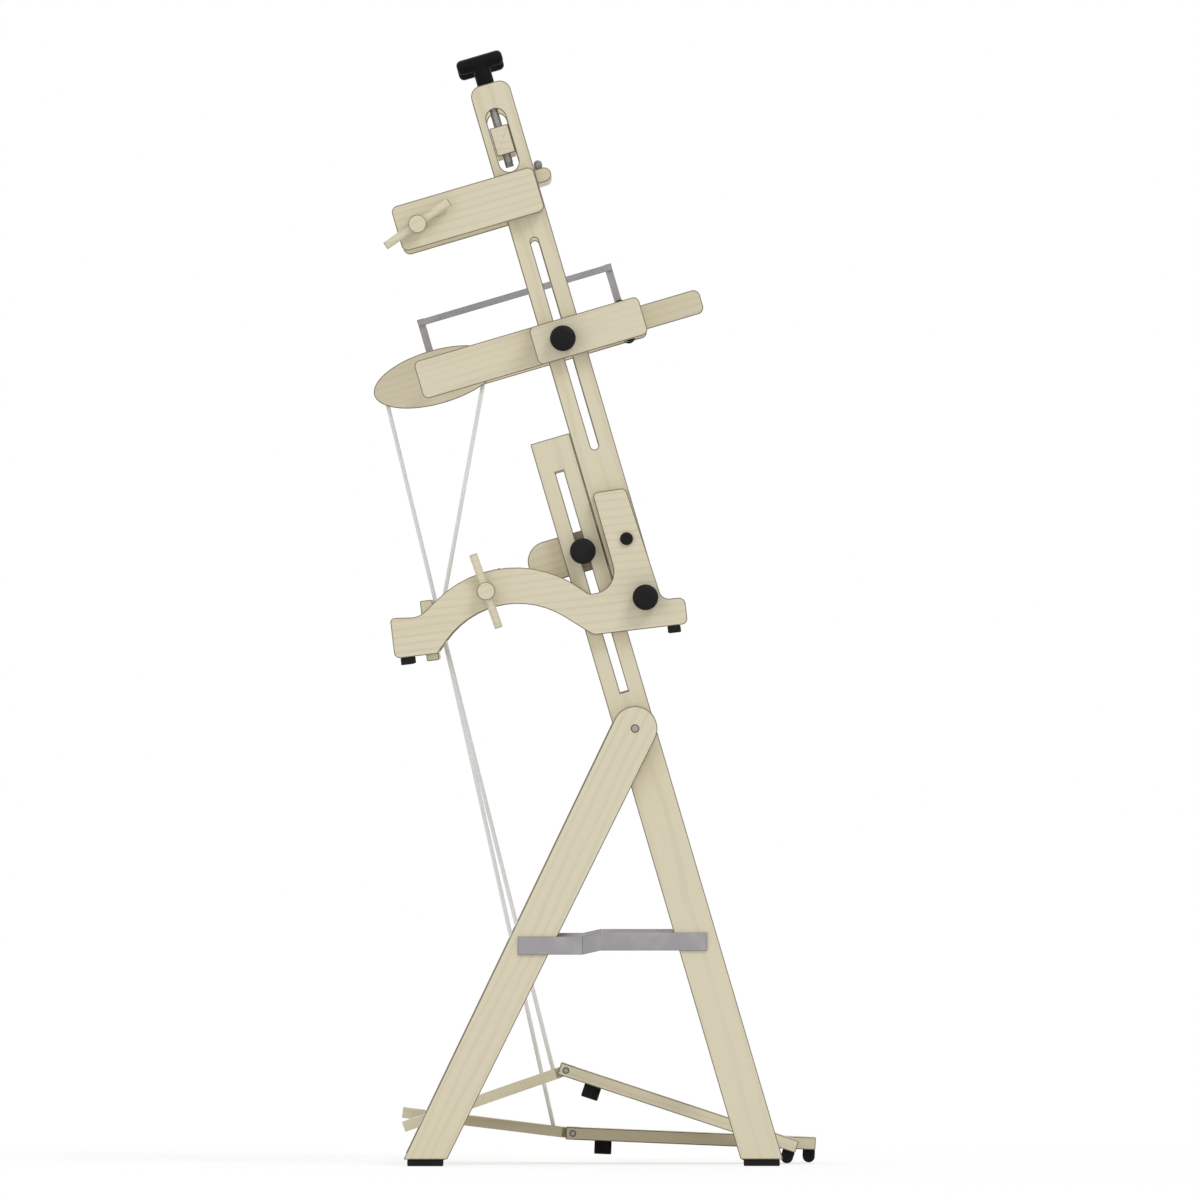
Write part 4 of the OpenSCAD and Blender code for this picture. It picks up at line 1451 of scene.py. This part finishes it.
@dataclass
class Studio:
    """Camera, lamps, world and floor.

    Args:
        scale: Metres in one pixel of the 1200-pixel frame.
        centre: Y and Z of the frame's middle, in metres.
        near_side: X of the plane that the scale holds in, in metres.
        distance: Distance from the camera to that plane, in metres.
        frame_pixels: Width and height of the frame, in pixels.
        clip: Nearest and farthest distance that the camera sees, in metres.
        soft_light: Strength of the world as it lights the loom.
        seen_light: Strength of the world as it is seen or mirrored.
        floor_size: Half the width of the floor, in metres.
        floor_drop: Depth of the floor below the pads, in metres.
        floor_tone: Grey of the floor.
        glow: Strength of the light that whitens the floor for the camera.
        glow_share: Share of that light in what the camera sees of the floor.
        suns: The lamps.
    """

    scale: float = 1.16 * MM
    centre: tuple[float, float] = (-7.5 * MM, 656.6 * MM)
    near_side: float = -320.0 * MM
    distance: float = 60.0
    frame_pixels: int = 1200
    clip: tuple[float, float] = (1.0, 120.0)
    soft_light: float = 0.58
    seen_light: float = 1.0
    floor_size: float = 40.0
    floor_drop: float = 0.5 * MM
    floor_tone: float = 0.94
    glow: float = 1.08
    glow_share: float = 0.62
    suns: tuple[Sun, ...] = (
        Sun("Key", toward=(-0.75, -0.45, 0.9), strength=0.85, softness=24.0),
        Sun("Fill", toward=(-0.9, 0.6, 0.35), strength=0.4, softness=40.0),
        Sun("Rim", toward=(0.9, 0.3, 0.7), strength=0.6, softness=40.0),
    )

    def camera(self) -> None:
        """Sets a very long lens square to the loom's left side, almost as flat as a side drawing."""
        data = bpy.data.cameras.new("Camera")
        half_view = self.frame_pixels * self.scale / 2
        data.lens = data.sensor_width / 2 / (half_view / self.distance)
        data.clip_start, data.clip_end = self.clip
        camera = add_object("Camera", data)
        camera.location = (self.near_side - self.distance, *self.centre)
        camera.rotation_euler = (math.radians(90), 0, math.radians(-90))
        bpy.context.scene.camera = camera

    def world(self) -> None:
        """Lights the loom evenly and shows white behind it."""
        world = bpy.data.worlds.new("Studio")
        bpy.context.scene.world = world
        world.use_nodes = True
        tree = world.node_tree
        back = tree.nodes["Background"]
        path = add_node(tree, "ShaderNodeLightPath").outputs
        mirrored = add_node(tree, "ShaderNodeMath", operation="MAXIMUM")
        seen = add_node(tree, "ShaderNodeMath", operation="MAXIMUM")
        strength = add_node(tree, "ShaderNodeMix", data_type="FLOAT")
        feed(tree, path["Is Glossy Ray"], mirrored.inputs[0])
        feed(tree, path["Is Transmission Ray"], mirrored.inputs[1])
        feed(tree, path["Is Camera Ray"], seen.inputs[0])
        feed(tree, mirrored.outputs[0], seen.inputs[1])
        feed(tree, seen.outputs[0], strength.inputs[0])
        feed(tree, self.soft_light, strength.inputs[2])
        feed(tree, self.seen_light, strength.inputs[3])
        fill(tree, back, Color=WHITE, Strength=strength.outputs[0])

    def floor(self) -> None:
        """Lays a plain pale floor that is almost white to the camera and keeps the loom's shadow."""
        mesh = bmesh.new()
        bmesh.ops.create_grid(mesh, x_segments=1, y_segments=1, size=self.floor_size)
        material, shader = bare_material("Studio_floor")
        tree = material.node_tree
        grey = (self.floor_tone, self.floor_tone, self.floor_tone, 1)
        fill(tree, shader, Base_Color=grey, Roughness=0.9, Specular_IOR_Level=0.0)
        glow = add_node(tree, "ShaderNodeEmission")
        fill(tree, glow, Strength=self.glow)
        path = add_node(tree, "ShaderNodeLightPath")
        share = add_node(tree, "ShaderNodeMath", operation="MULTIPLY")
        feed(tree, path.outputs["Is Camera Ray"], share.inputs[0])
        feed(tree, self.glow_share, share.inputs[1])
        mix = add_node(tree, "ShaderNodeMixShader")
        for socket, source in zip(mix.inputs, (share, shader, glow)):
            feed(tree, source.outputs[0], socket)
        fill(tree, tree.nodes["Material Output"], Surface=mix.outputs[0])
        floor = finish_mesh("Studio_floor", mesh, (material,))
        floor.location = (0, 0, -self.floor_drop)

    def build(self) -> None:
        """Builds the whole studio."""
        self.camera()
        self.world()
        self.floor()
        for sun in self.suns:
            sun.build()
        bpy.context.scene.view_settings.view_transform = "Standard"


def main() -> None:
    """Builds the studio, the cords and every sub-assembly."""
    logging.basicConfig(level=logging.INFO, format="%(name)s: %(message)s")
    Studio().build()
    cord = BraidedCord().material()
    REAR_CORD.build(cord)
    FRONT_CORD.build(cord)
    for group in (Stand(), LoomFrame(), WarpSpring(), Tension(), ShedChanger(), Rollers(), Treadles()):
        group.build()
        log.info("%s is done", type(group).__name__)


if __name__ == "__main__":
    main()
